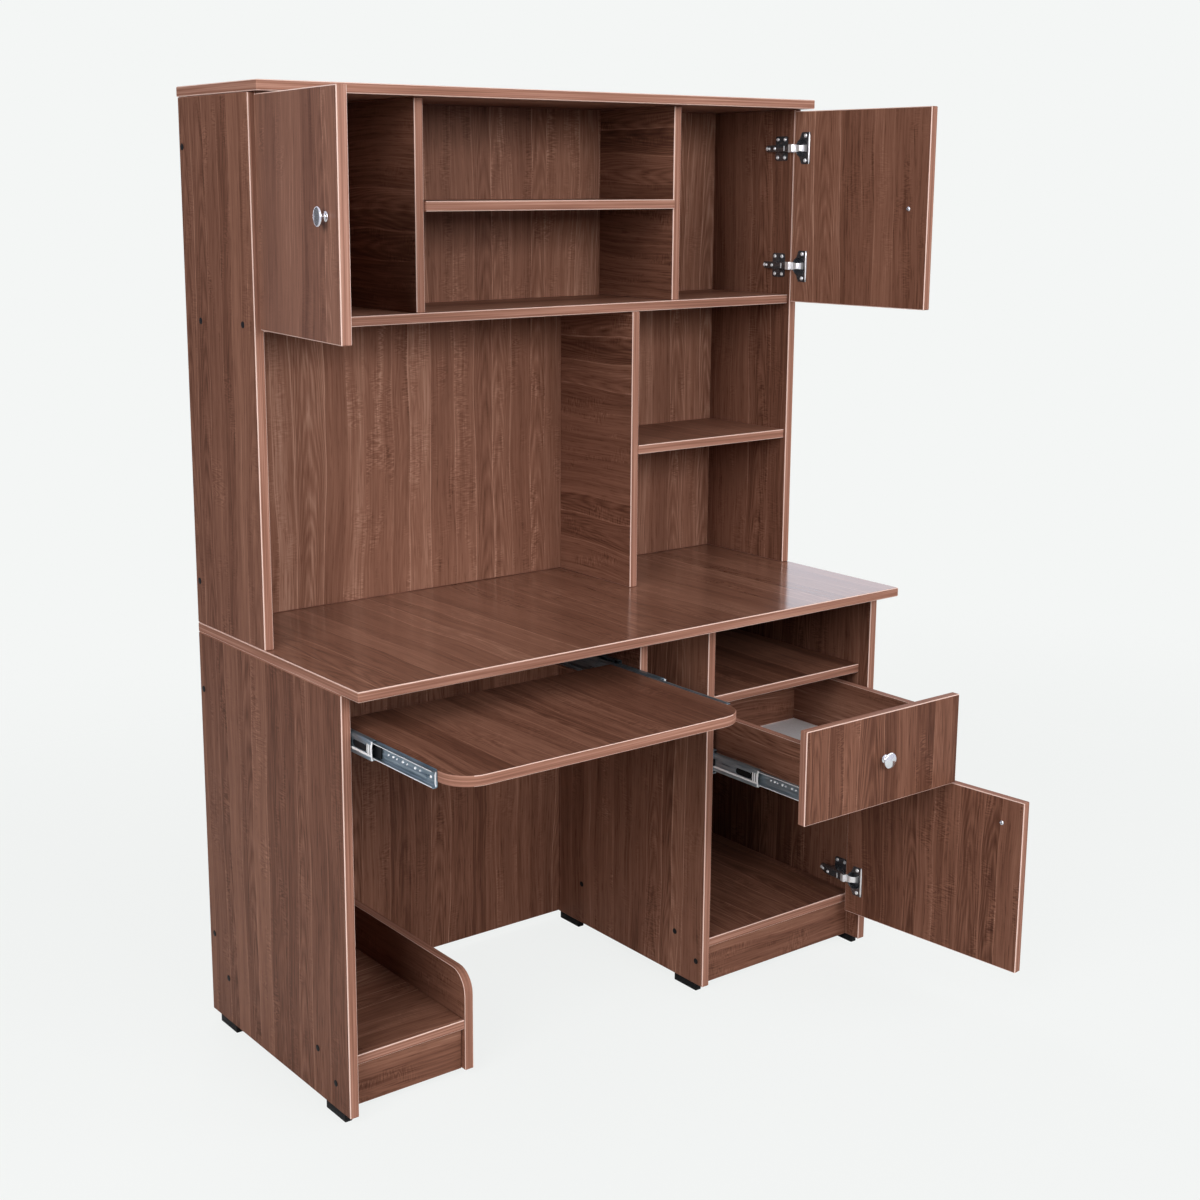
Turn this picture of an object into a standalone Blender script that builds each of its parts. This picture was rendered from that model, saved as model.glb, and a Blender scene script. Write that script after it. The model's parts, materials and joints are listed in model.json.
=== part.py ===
"""Study desk with a hutch, in metres with +Z up and the front facing -Y.

Flat boards make a base with a pedestal, and a hutch that stands on the desktop. Three doors turn on
concealed cup hinges, and a drawer and a keyboard tray run on three-part ball-bearing slides. The model
stands as photographed, with the doors open and the drawer and tray pulled out.

While it is built, x = 0 is the middle of the desk's width, y = 0 is the front edge of the base's side
panels and z = 0 is the floor. The last step moves all of it over the middle of its own footprint.
"""

import math

import bmesh
import bpy
from mathutils import Matrix, Vector

# Boards
BOARD = 0.017
FIT = 0.0003
EDGE_BEVEL = 0.0014

# Base
WIDTH = 1.200
DESK_HEIGHT = 0.750
BASE_DEPTH = 0.497
DESKTOP_OVERHANG = 0.053
BACK_INSET = 0.006
FOOT_HEIGHT = 0.014
FOOT_LENGTH = 0.062
FOOT_WIDTH = 0.013
FOOT_CORNER_RADIUS = 0.004
FOOT_FRONT_INSET = 0.020
FOOT_REAR_INSET = 0.028
PLINTH_HEIGHT = 0.077
PLINTH_SETBACK = 0.035
SHELF_SETBACK = 0.025

# Pedestal on the right, and the computer bay on the left
PEDESTAL_WIDTH = 0.417
PEDESTAL_SIDE_SETBACK = 0.022
PEDESTAL_CUBBY_HEIGHT = 0.149
CPU_BAY_WIDTH = 0.226
CPU_SIDE_HEIGHT = 0.178
CPU_SIDE_RADIUS = 0.040

# Hutch
HUTCH_HEIGHT = 0.917
HUTCH_DEPTH = 0.250
HUTCH_TOP_OVERHANG = 0.035
HUTCH_TOP_SIDE_OVERHANG = 0.002
HUTCH_INNER_SETBACK = 0.005
CABINET_HEIGHT = 0.357
LEFT_CABINET_WIDTH = 0.293
RIGHT_CABINET_WIDTH = 0.286
CENTRE_CUBBY_HEIGHT = 0.170
RIGHT_CUBBY_WIDTH = 0.381
RIGHT_CUBBY_HEIGHT = 0.2565

# Doors and the drawer front
DOOR_GAP = 0.004
DOOR_REVEAL = 0.001
DOOR_TOP_GAP = 0.004
DOOR_BOTTOM_LAP = 0.013
LEFT_DOOR_LAP = 0.017
RIGHT_DOOR_LAP = 0.024
FRONT_CLEARANCE = 0.003
FRONT_REVEAL = 0.002
FRONT_SIDE_GAP = 0.004
FRONT_GAP = 0.0035
LOWER_DOOR_LAP = 0.013
DRAWER_FRONT_HEIGHT = 0.172
LEFT_DOOR_OPEN = math.radians(97)
RIGHT_DOOR_OPEN = math.radians(94)
LOWER_DOOR_OPEN = math.radians(96)

# Concealed hinges
HINGE_END_INSET = 0.070
PIVOT_INSET = 0.00975
PIVOT_STANDOFF = 0.01225
CUP_RADIUS = 0.0175
CUP_DEPTH = 0.0115
CUP_WALL = 0.0011
CUP_EDGE = 0.005
FLANGE_THICKNESS = 0.0013
FLANGE_LENGTH = 0.063
FLANGE_EAR = 0.0130
FLANGE_LIP = 0.0010
FLANGE_BEND = 0.0200
FLANGE_ROUND_START = math.radians(110)
LINK_INNER_RADIUS = 0.0142
LINK_OUTER_RADIUS = 0.0156
LINK_WIDTH = 0.015
LINK_START = math.radians(12)
LINK_END = math.radians(114)
CORNER_CLEARANCE = 0.00034
NOSE_THICKNESS = 0.0058
NOSE_STEP = 0.0015
NOSE_START = math.radians(20)
NOSE_END = math.radians(60)
ARM_WIDTH = 0.013
ARM_HEIGHT = 0.0115
ARM_BEND = 0.0085
ARM_TAIL_HEIGHT = 0.006
ARM_LENGTH = 0.085
ARM_FOOT_LENGTH = 0.026
ARM_FOOT_BACK = 0.024
WING_SPAN = 0.050
WING_WIDTH = 0.020
WING_THICKNESS = 0.0022
WING_CORNER_RADIUS = 0.004
WING_HOLE_RADIUS = 0.0026
WING_HOLE_SPREAD = 0.036
OVERLAY_ARM_STANDOFF = 0.00175
INSET_ARM_STANDOFF = 0.0155

# Keyboard tray
TRAY_WIDTH = 0.570
TRAY_DEPTH = 0.360
TRAY_CORNER_RADIUS = 0.050
TRAY_DROP = 0.066
TRAY_SETBACK = 0.013
TRAY_PULLED = 0.240
HANGER_HEIGHT = 0.111
HANGER_DEPTH = 0.408
HANGER_SETBACK = 0.012

# Drawer box
DRAWER_SIDE = 0.015
DRAWER_LENGTH = 0.400
DRAWER_SIDE_HEIGHT = 0.120
DRAWER_SIDE_RAISE = 0.015
DRAWER_BOTTOM = 0.004
DRAWER_BOTTOM_RAISE = 0.010
DRAWER_GROOVE = 0.006
DRAWER_PULLED = 0.233

# Ball-bearing slides
SLIDE_SPACE = 0.013
SLIDE_SHEET = 0.0012
SLIDE_BEND = 0.0015
SLIDE_OUTER_HEIGHT = 0.045
SLIDE_MIDDLE_HEIGHT = 0.033
SLIDE_INNER_HEIGHT = 0.026
SLIDE_OUTER_LIP = 0.0092
SLIDE_MIDDLE_START = 0.003
SLIDE_MIDDLE_LIP = 0.0075
SLIDE_INNER_LIP = 0.0077
BALL_ROW_SHARE = 0.35
BALL_ROW_WIDTH = 0.003
BALL_ROW_START = 0.0058
SLOT_WIDTH = 0.012
SLOT_LENGTH = 0.042
SLOT_INSET = 0.016
SCREW_SLOT_WIDTH = 0.0055
SCREW_SLOT_LENGTH = 0.014
SCREW_SLOT_SHARES = (0.5, 0.75)
TRAY_SLIDE_LENGTH = 0.350
TRAY_SLIDE_SETBACK = 0.064
TRAY_INNER_SETBACK = 0.054
DRAWER_SLIDE_LENGTH = 0.400
DRAWER_SLIDE_SETBACK = 0.024
DRAWER_SLIDE_RAISE = 0.046

# Knobs
KNOB_HEIGHT = 0.025
KNOB_RADIUS = 0.0138
KNOB_NECK_RADIUS = 0.006
KNOB_BASE_RADIUS = 0.0085
KNOB_BASE_HEIGHT = 0.003
KNOB_HEAD_HEIGHT = 0.010
KNOB_RIM = 0.0025
UPPER_KNOB_INSET = 0.044
LOWER_KNOB_INSET = 0.045
LOWER_KNOB_DROP = 0.048

# Fineness of the round pieces
TURN_STEPS = 24
ARC_STEPS = 8
CORNER_STEPS = 3

# Places that follow from the sizes
LEFT = -WIDTH / 2
RIGHT = WIDTH / 2
LEFT_INNER = LEFT + BOARD
RIGHT_INNER = RIGHT - BOARD
REAR = BASE_DEPTH
BACK_FACE = REAR - BACK_INSET - BOARD
DESK_UNDERSIDE = DESK_HEIGHT - BOARD
PLINTH_TOP = FOOT_HEIGHT + PLINTH_HEIGHT
FLOOR_SHELF_TOP = PLINTH_TOP + BOARD
PEDESTAL_LEFT = RIGHT - PEDESTAL_WIDTH
PEDESTAL_INNER = PEDESTAL_LEFT + BOARD
PEDESTAL_SHELF_TOP = DESK_UNDERSIDE - PEDESTAL_CUBBY_HEIGHT
CPU_SIDE_LEFT = LEFT_INNER + CPU_BAY_WIDTH
TRAY_TOP = DESK_UNDERSIDE - TRAY_DROP
TRAY_LEFT = LEFT_INNER + SLIDE_SPACE
TRAY_RIGHT = TRAY_LEFT + TRAY_WIDTH
HANGER_LEFT = TRAY_RIGHT + SLIDE_SPACE
TRAY_FRONT = TRAY_SETBACK - DESKTOP_OVERHANG
HUTCH_FRONT = REAR - HUTCH_DEPTH
HUTCH_INNER_FRONT = HUTCH_FRONT + HUTCH_INNER_SETBACK
HUTCH_UNDERSIDE = DESK_HEIGHT + HUTCH_HEIGHT - BOARD
LONG_SHELF_TOP = HUTCH_UNDERSIDE - CABINET_HEIGHT
LONG_SHELF_UNDERSIDE = LONG_SHELF_TOP - BOARD
LEFT_DIVIDER = LEFT_INNER + LEFT_CABINET_WIDTH
RIGHT_DIVIDER = RIGHT_INNER - RIGHT_CABINET_WIDTH - BOARD
TALL_DIVIDER = RIGHT_INNER - RIGHT_CUBBY_WIDTH - BOARD
UPPER_DOOR_BOTTOM = LONG_SHELF_TOP - DOOR_BOTTOM_LAP
UPPER_DOOR_TOP = HUTCH_UNDERSIDE - DOOR_TOP_GAP
FRONT_FACE = PEDESTAL_SIDE_SETBACK - FRONT_CLEARANCE
FRONT_LEFT = PEDESTAL_LEFT + FRONT_REVEAL
FRONT_RIGHT = RIGHT_INNER - FRONT_SIDE_GAP
DRAWER_FRONT_BOTTOM = PEDESTAL_SHELF_TOP - DRAWER_FRONT_HEIGHT
LOWER_DOOR_TOP = DRAWER_FRONT_BOTTOM - FRONT_GAP
LOWER_DOOR_BOTTOM = PLINTH_TOP - LOWER_DOOR_LAP
DRAWER_LEFT = PEDESTAL_INNER + SLIDE_SPACE
DRAWER_RIGHT = RIGHT_INNER - SLIDE_SPACE
DRAWER_BOX_FRONT = FRONT_FACE + FIT
DRAWER_BOX_BOTTOM = DRAWER_FRONT_BOTTOM + DRAWER_SIDE_RAISE
DRAWER_BOX_BACK = DRAWER_BOX_FRONT + DRAWER_LENGTH
DRAWER_FLOOR = DRAWER_BOX_BOTTOM + DRAWER_BOTTOM_RAISE
NOSE_RADIUS = math.hypot(PIVOT_INSET, PIVOT_STANDOFF) + CORNER_CLEARANCE
CUP_CENTRE = CUP_EDGE + CUP_RADIUS - PIVOT_INSET


def start_scene():
    """Empties the scene and makes one collection for the desk's pieces and one for their cutters."""
    for thing in list(bpy.data.objects):
        bpy.data.objects.remove(thing)
    made = []
    for name in ("study_desk", "cutters"):
        collection = bpy.data.collections.new(name)
        bpy.context.scene.collection.children.link(collection)
        made.append(collection)
    return made


DESK, CUTTERS = start_scene()


def make_finish(name, colour, roughness, metallic=0.0):
    """A Principled material whose colour is written as an sRGB hex value."""
    channels = [int(colour[at:at + 2], 16) / 255 for at in (0, 2, 4)]
    linear = [value / 12.92 if value < 0.04045 else ((value + 0.055) / 1.055) ** 2.4 for value in channels]
    finish = bpy.data.materials.new(name)
    finish.use_nodes = True
    shader = finish.node_tree.nodes["Principled BSDF"]
    shader.inputs["Base Color"].default_value = (*linear, 1.0)
    shader.inputs["Roughness"].default_value = roughness
    shader.inputs["Metallic"].default_value = metallic
    return finish


WALNUT = make_finish("walnut_melamine", "6B4A3D", 0.45)
DESKTOP_WALNUT = make_finish("polished_walnut_melamine", "70503F", 0.22)
WHITE_PANEL = make_finish("white_drawer_bottom", "E9E7E3", 0.5)
CHROME = make_finish("chrome_knob", "C9C9CC", 0.12, 1.0)
NICKEL = make_finish("nickel_hinge", "8D8C8C", 0.25, 1.0)
ZINC = make_finish("zinc_slide", "98A2AA", 0.35, 1.0)


def place(name, mesh, finish, parent):
    """Makes a visible piece from a mesh that is written in its parent's coordinates."""
    piece = bpy.data.objects.new(name, mesh)
    mesh.materials.append(finish)
    piece.parent = parent
    DESK.objects.link(piece)
    return piece


def helper(name, mesh, parent):
    """Makes a hidden piece for a Boolean, in its parent's coordinates."""
    piece = bpy.data.objects.new(name, mesh)
    piece.parent = parent
    piece.hide_render = True
    piece.display_type = "WIRE"
    CUTTERS.objects.link(piece)
    return piece


def combine(piece, mesh, operation):
    """Cuts a mesh out of a piece, or joins the mesh to it."""
    modifier = piece.modifiers.new(operation.lower(), "BOOLEAN")
    modifier.operation = operation
    modifier.object = helper(f"{piece.name}_{operation.lower()}_{len(piece.modifiers)}", mesh, piece.parent)


def round_edges(piece, width=EDGE_BEVEL):
    modifier = piece.modifiers.new("edges", "BEVEL")
    modifier.width = width
    modifier.segments = 1


def box_mesh(name, *spans):
    """One closed box for each (low corner, high corner) pair."""
    shape = bmesh.new()
    for low, high in spans:
        size = Vector(high) - Vector(low)
        middle = Matrix.Translation((Vector(high) + Vector(low)) / 2)
        bmesh.ops.create_cube(shape, size=1.0, matrix=middle @ Matrix.Diagonal((*size, 1.0)))
    mesh = bpy.data.meshes.new(name)
    shape.to_mesh(mesh)
    shape.free()
    return mesh


def board(name, x, y, z, finish=WALNUT, parent=None):
    """A board with slightly broken edges, from its spans along x, y and z."""
    low, high = zip(x, y, z)
    piece = place(name, box_mesh(name, (low, high)), finish, parent or ROOT)
    round_edges(piece)
    return piece


def arc(centre, radius, start, end, steps=ARC_STEPS):
    """Points along an arc, in the plane of an outline."""
    turns = [start + (end - start) * step / steps for step in range(steps + 1)]
    return [(centre[0] + radius * math.cos(turn), centre[1] + radius * math.sin(turn)) for turn in turns]


def rounded_outline(centre, size, radius):
    """A rectangle with round corners, from its middle and its (right, up) size."""
    points = []
    for quarter, (right, up) in enumerate(((1, 1), (-1, 1), (-1, -1), (1, -1))):
        corner = (centre[0] + right * (size[0] / 2 - radius), centre[1] + up * (size[1] / 2 - radius))
        start = quarter * math.pi / 2
        points += arc(corner, radius, start, start + math.pi / 2, CORNER_STEPS)
    return points


def hole_outline(centre, radius):
    return arc(centre, radius, 0, math.tau * (1 - 1 / TURN_STEPS), TURN_STEPS - 1)


def plate_mesh(name, outlines, low, high, to_parent):
    """Fills closed outlines, inner ones as holes, and extrudes them from low to high along their normal.

    to_parent turns the outline's own (right, up, normal) directions into the parent's coordinates.
    """
    curve = bpy.data.curves.new(name, "CURVE")
    curve.dimensions = "2D"
    curve.fill_mode = "BOTH"
    curve.extrude = (high - low) / 2
    for outline in outlines:
        spline = curve.splines.new("POLY")
        spline.points.add(len(outline) - 1)
        for point, (right, up) in zip(spline.points, outline):
            point.co = (right, up, 0.0, 1.0)
        spline.use_cyclic_u = True
    drawn = bpy.data.objects.new(name, curve)
    CUTTERS.objects.link(drawn)
    mesh = bpy.data.meshes.new_from_object(drawn.evaluated_get(bpy.context.evaluated_depsgraph_get()))
    bpy.data.objects.remove(drawn)
    bpy.data.curves.remove(curve)
    mesh.transform(to_parent @ Matrix.Translation((0, 0, (low + high) / 2)))
    shape = bmesh.new()
    shape.from_mesh(mesh)
    bmesh.ops.remove_doubles(shape, verts=shape.verts, dist=1e-6)
    bmesh.ops.recalc_face_normals(shape, faces=shape.faces)
    shape.to_mesh(mesh)
    shape.free()
    return mesh


def axes(right, up, normal):
    """The matrix whose columns are an outline's right, up and normal directions."""
    return Matrix((right, up, normal)).transposed().to_4x4()


FLAT = axes((1, 0, 0), (0, 1, 0), (0, 0, 1))
SIDEWAYS = axes((0, 1, 0), (0, 0, 1), (1, 0, 0))


def make_empty(name, location, turn=0.0, parent=None):
    empty = bpy.data.objects.new(name, None)
    empty.location = location
    empty.rotation_euler.z = turn
    empty.parent = parent
    empty.empty_display_size = 0.05
    DESK.objects.link(empty)
    return empty


ROOT = make_empty("desk_root", (0, 0, 0))


def add_feet(panel, x, front):
    """Joins a floor glide to the front and the rear of a standing panel's lower edge."""
    middle = (x[0] + x[1]) / 2
    centres = (front + FOOT_FRONT_INSET + FOOT_LENGTH / 2, REAR - FOOT_REAR_INSET - FOOT_LENGTH / 2)
    feet = [rounded_outline((middle, y), (FOOT_WIDTH, FOOT_LENGTH), FOOT_CORNER_RADIUS) for y in centres]
    combine(panel, plate_mesh(panel.name + "_feet", feet, 0, FOOT_HEIGHT + BOARD, FLAT), "UNION")


def build_base():
    """The standing panels and shelves under the desktop, and the desktop itself."""
    standing = (FOOT_HEIGHT, DESK_UNDERSIDE - FIT)
    left = (LEFT, LEFT_INNER)
    right = (RIGHT_INNER, RIGHT)
    middle = (PEDESTAL_LEFT, PEDESTAL_INNER)
    add_feet(board("base_left_side", left, (0, REAR), standing), left, 0)
    add_feet(board("base_right_side", right, (0, REAR), standing), right, 0)
    inner_depth = (PEDESTAL_SIDE_SETBACK, BACK_FACE - FIT)
    add_feet(board("pedestal_left_side", middle, inner_depth, standing), middle, PEDESTAL_SIDE_SETBACK)
    board("base_back", (LEFT_INNER + FIT, RIGHT_INNER - FIT), (BACK_FACE, BACK_FACE + BOARD), standing)
    board("desktop", (LEFT, RIGHT), (-DESKTOP_OVERHANG, REAR), (DESK_UNDERSIDE, DESK_HEIGHT), DESKTOP_WALNUT)

    shelf_depth = (SHELF_SETBACK, BACK_FACE - FIT)
    plinth_depth = (PLINTH_SETBACK, PLINTH_SETBACK + BOARD)
    plinth_height = (FOOT_HEIGHT, PLINTH_TOP - FIT)
    floor_shelf = (PLINTH_TOP, FLOOR_SHELF_TOP)
    inside_pedestal = (PEDESTAL_INNER + FIT, RIGHT_INNER - FIT)
    board("pedestal_bottom", inside_pedestal, shelf_depth, floor_shelf)
    board("pedestal_plinth", inside_pedestal, plinth_depth, plinth_height)
    board("pedestal_shelf", inside_pedestal, shelf_depth, (PEDESTAL_SHELF_TOP - BOARD, PEDESTAL_SHELF_TOP))
    inside_bay = (LEFT_INNER + FIT, CPU_SIDE_LEFT - FIT)
    board("cpu_shelf", inside_bay, shelf_depth, floor_shelf)
    board("cpu_plinth", inside_bay, plinth_depth, plinth_height)


def build_cpu_side():
    """The low board beside the computer bay, with its upper front corner rounded."""
    top = FOOT_HEIGHT + CPU_SIDE_HEIGHT
    centre = (SHELF_SETBACK + CPU_SIDE_RADIUS, top - CPU_SIDE_RADIUS)
    corner = arc(centre, CPU_SIDE_RADIUS, math.pi, math.pi / 2)
    rear = BACK_FACE - FIT
    outline = [(rear, FOOT_HEIGHT), (SHELF_SETBACK, FOOT_HEIGHT), *corner, (rear, top)]
    mesh = plate_mesh("cpu_side_board", [outline], CPU_SIDE_LEFT, CPU_SIDE_LEFT + BOARD, SIDEWAYS)
    round_edges(place("cpu_side_board", mesh, WALNUT, ROOT))


def build_hutch():
    """The upper shelf unit: two sides, a top, a back, and the shelves and dividers between them."""
    depth = (HUTCH_FRONT, REAR)
    inner_depth = (HUTCH_INNER_FRONT, BACK_FACE - FIT)
    standing = (DESK_HEIGHT + FIT, HUTCH_UNDERSIDE - FIT)
    board("hutch_left_side", (LEFT, LEFT_INNER), depth, standing)
    board("hutch_right_side", (RIGHT_INNER, RIGHT), depth, standing)
    inside = (LEFT_INNER + FIT, RIGHT_INNER - FIT)
    board("hutch_back", inside, (BACK_FACE, BACK_FACE + BOARD), standing)
    top_span = (LEFT - HUTCH_TOP_SIDE_OVERHANG, RIGHT + HUTCH_TOP_SIDE_OVERHANG)
    top_depth = (HUTCH_FRONT - HUTCH_TOP_OVERHANG, REAR)
    board("hutch_top", top_span, top_depth, (HUTCH_UNDERSIDE, HUTCH_UNDERSIDE + BOARD))
    board("hutch_long_shelf", inside, inner_depth, (LONG_SHELF_UNDERSIDE, LONG_SHELF_TOP))

    upper = (LONG_SHELF_TOP + FIT, HUTCH_UNDERSIDE - FIT)
    board("hutch_left_divider", (LEFT_DIVIDER, LEFT_DIVIDER + BOARD), inner_depth, upper)
    board("hutch_right_divider", (RIGHT_DIVIDER, RIGHT_DIVIDER + BOARD), inner_depth, upper)
    centre = (LEFT_DIVIDER + BOARD + FIT, RIGHT_DIVIDER - FIT)
    centre_depth = (HUTCH_FRONT, BACK_FACE - FIT)
    centre_underside = LONG_SHELF_TOP + CENTRE_CUBBY_HEIGHT
    board("hutch_centre_shelf", centre, centre_depth, (centre_underside, centre_underside + BOARD))

    below = (DESK_HEIGHT + FIT, LONG_SHELF_UNDERSIDE - FIT)
    board("hutch_tall_divider", (TALL_DIVIDER, TALL_DIVIDER + BOARD), inner_depth, below)
    right_cubbies = (TALL_DIVIDER + BOARD + FIT, RIGHT_INNER - FIT)
    right_underside = DESK_HEIGHT + RIGHT_CUBBY_HEIGHT
    board("hutch_right_shelf", right_cubbies, inner_depth, (right_underside, right_underside + BOARD))


def screw_turned(name, profile, finish, parent):
    """Turns a profile of (radius, height) points, listed from the top down, round the local Z axis."""
    shape = bmesh.new()
    points = [shape.verts.new((radius, 0.0, height)) for radius, height in profile]
    for upper, lower in zip(points, points[1:]):
        shape.edges.new((upper, lower))
    mesh = bpy.data.meshes.new(name)
    shape.to_mesh(mesh)
    shape.free()
    piece = place(name, mesh, finish, parent)
    turn = piece.modifiers.new("turn", "SCREW")
    turn.steps = turn.render_steps = TURN_STEPS
    turn.use_merge_vertices = True
    turn.merge_threshold = 1e-6
    turn.use_smooth_shade = True
    return piece


def knob(name, place_on_front, parent):
    """A mushroom knob on a round base, standing off a front that faces -Y."""
    head_bottom = KNOB_HEIGHT - KNOB_HEAD_HEIGHT
    widest = head_bottom + KNOB_RIM
    dome = [
        (right * KNOB_RADIUS, widest + up * (KNOB_HEIGHT - widest))
        for right, up in arc((0, 0), 1, math.pi / 2, 0)
    ]
    stem = [
        (KNOB_RADIUS, head_bottom + KNOB_RIM / 2),
        (KNOB_RADIUS - KNOB_RIM / 2, head_bottom),
        (KNOB_NECK_RADIUS, head_bottom - KNOB_RIM / 2),
        (KNOB_NECK_RADIUS, 2 * KNOB_BASE_HEIGHT),
        (KNOB_BASE_RADIUS, KNOB_BASE_HEIGHT),
        (KNOB_BASE_RADIUS, 0.0),
        (0.0, 0.0),
    ]
    piece = screw_turned(name, dome + stem, CHROME, parent)
    piece.location = Vector(place_on_front) - Vector((0, FIT, 0))
    piece.rotation_euler.x = math.pi / 2


def cylinder_mesh(name, radius, depth, matrix):
    shape = bmesh.new()
    bmesh.ops.create_cone(
        shape, cap_ends=True, segments=TURN_STEPS, radius1=radius, radius2=radius, depth=depth, matrix=matrix
    )
    mesh = bpy.data.meshes.new(name)
    shape.to_mesh(mesh)
    shape.free()
    return mesh


def drawn_curve(start, bend, end):
    """Points between start and end, without those two, along a curve that is drawn towards a bend point."""
    shares = [step / ARC_STEPS for step in range(1, ARC_STEPS)]
    weights = [((1 - share) ** 2, 2 * share * (1 - share), share ** 2) for share in shares]
    return [tuple(a * p + b * q + c * r for p, q, r in zip(start, bend, end)) for a, b, c in weights]


def hinge_cup(name, side, height, parent):
    """The pressed cup in the door, open towards the cabinet, with its screw flange and its link.

    The flange lies on the door's inner face, and its flanks curve in from two ears to the cup. The link is
    a strip that is round about the hinge axis, from inside the cup over its edge. The door's coordinates
    have their origin on that axis: side * x runs to the door's free edge, +y to the cabinet and z up.
    """
    outer = CUP_RADIUS - FIT
    inner = outer - CUP_WALL
    bottom = PIVOT_STANDOFF - CUP_DEPTH
    floor = bottom + CUP_WALL
    rim = PIVOT_STANDOFF + FLANGE_THICKNESS
    profile = [(0.0, floor), (inner, floor), (inner, rim), (outer, rim), (outer, bottom), (0.0, bottom)]
    cup = screw_turned(name, profile, NICKEL, parent)
    cup.location = (side * CUP_CENTRE, 0, height)
    cup.rotation_euler.x = -math.pi / 2

    lip = CUP_RADIUS + FLANGE_LIP
    half = FLANGE_LENGTH / 2
    round_side = arc((0, 0), lip, FLANGE_ROUND_START, math.tau - FLANGE_ROUND_START)
    ear = lip - FLANGE_EAR
    lower_flank = drawn_curve(round_side[-1], (ear, -FLANGE_BEND), (ear, -half))
    upper_flank = drawn_curve((ear, half), (ear, FLANGE_BEND), round_side[0])
    ears = [(ear, -half), (lip, -half), (lip, half), (ear, half)]
    outline = round_side + lower_flank + ears + upper_flank
    mouth = hole_outline((0, 0), (inner + outer) / 2)
    to_door = Matrix.Translation((side * CUP_CENTRE, 0, height)) @ axes((side, 0, 0), (0, 0, 1), (0, 1, 0))
    low = PIVOT_STANDOFF + FIT
    flange = plate_mesh(name + "_flange", [outline, mouth], low, low + FLANGE_THICKNESS, to_door)
    combine(cup, flange, "UNION")

    link = [
        *arc((0, 0), LINK_INNER_RADIUS, LINK_START, LINK_END),
        *arc((0, 0), LINK_OUTER_RADIUS, LINK_END, LINK_START),
    ]
    to_axis = Matrix.Translation((0, 0, height)) @ axes((side, 0, 0), (0, 1, 0), (0, 0, 1))
    combine(cup, plate_mesh(name + "_link", [link], -LINK_WIDTH / 2, LINK_WIDTH / 2, to_axis), "UNION")


def hinge_arm(name, side, axis, height, seat):
    """The arm on the cabinet side, with its wing plate, and a nose that the cup closes over.

    The arm's outline runs along side * x from the hinge axis into the cabinet, and along y to the back. The
    nose's inner face is round about the axis, so that the door's corner turns inside it. seat is the x of
    the panel's face, the y of its front edge and how far the arm stands off the face.
    """
    panel_face, panel_front, standoff = seat
    foot = side * (panel_face - axis[0]) + FIT
    low = foot + standoff
    front = max(panel_front - axis[1], PIVOT_STANDOFF) + FLANGE_THICKNESS
    tail = front + ARM_LENGTH
    foot_start = front + ARM_FOOT_BACK
    inner = arc((0, 0), NOSE_RADIUS, NOSE_START, NOSE_END)
    reach = NOSE_RADIUS + NOSE_THICKNESS
    tip = (reach * math.cos(NOSE_START), reach * math.sin(NOSE_START))
    top = max(low + ARM_HEIGHT, tip[0] - NOSE_STEP)
    outline = [
        *inner,
        (low, front + ARM_BEND),
        (low, foot_start),
        (foot, foot_start),
        (foot, foot_start + ARM_FOOT_LENGTH),
        (low, foot_start + ARM_FOOT_LENGTH),
        (low, tail),
        (low + ARM_TAIL_HEIGHT, tail),
        (top, foot_start + ARM_FOOT_LENGTH),
        (top, front + ARM_BEND),
        tip,
    ]
    to_root = Matrix.Translation((axis[0], axis[1], height)) @ axes((side, 0, 0), (0, 1, 0), (0, 0, 1))
    arm = place(name, plate_mesh(name, [outline], -ARM_WIDTH / 2, ARM_WIDTH / 2, to_root), NICKEL, ROOT)
    middle = foot_start + ARM_FOOT_LENGTH / 2
    wings = rounded_outline((middle, 0), (WING_WIDTH, WING_SPAN), WING_CORNER_RADIUS)
    holes = [hole_outline((middle, end * WING_HOLE_SPREAD / 2), WING_HOLE_RADIUS) for end in (-1, 1)]
    to_panel = Matrix.Translation((axis[0], axis[1], height)) @ axes((0, 1, 0), (0, 0, 1), (side, 0, 0))
    plate = plate_mesh(name + "_wings", [wings, *holes], foot, foot + WING_THICKNESS, to_panel)
    combine(arm, plate, "UNION")


def door(name, side, hinge_end, width, inner_face, heights, turn, seat, knob_at):
    """A door on two concealed hinges. side is +1 where the closed door runs to +X from its hinges."""
    bottom, top = heights
    axis = (hinge_end + side * PIVOT_INSET, inner_face - PIVOT_STANDOFF)
    hinge = make_empty(name + "_axis", (*axis, 0), -side * turn, ROOT)
    across = sorted((-side * PIVOT_INSET, side * (width - PIVOT_INSET)))
    outer_face = PIVOT_STANDOFF - BOARD
    leaf = board(name, across, (outer_face, PIVOT_STANDOFF), heights, parent=hinge)
    for level, height in (("upper", top - HINGE_END_INSET), ("lower", bottom + HINGE_END_INSET)):
        centre = Matrix.Translation((side * CUP_CENTRE, PIVOT_STANDOFF - CUP_DEPTH / 2, height))
        to_bore = centre @ Matrix.Rotation(math.pi / 2, 4, "X")
        bore = cylinder_mesh(f"{name}_{level}_bore", CUP_RADIUS, CUP_DEPTH + 2 * FIT, to_bore)
        combine(leaf, bore, "DIFFERENCE")
        hinge_cup(f"{name}_{level}_hinge_cup", side, height, hinge)
        hinge_arm(f"{name}_{level}_hinge_arm", side, axis, height, seat)
    inset, knob_height = knob_at
    knob(name + "_knob", (side * (width - PIVOT_INSET - inset), outer_face, knob_height), hinge)


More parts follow.
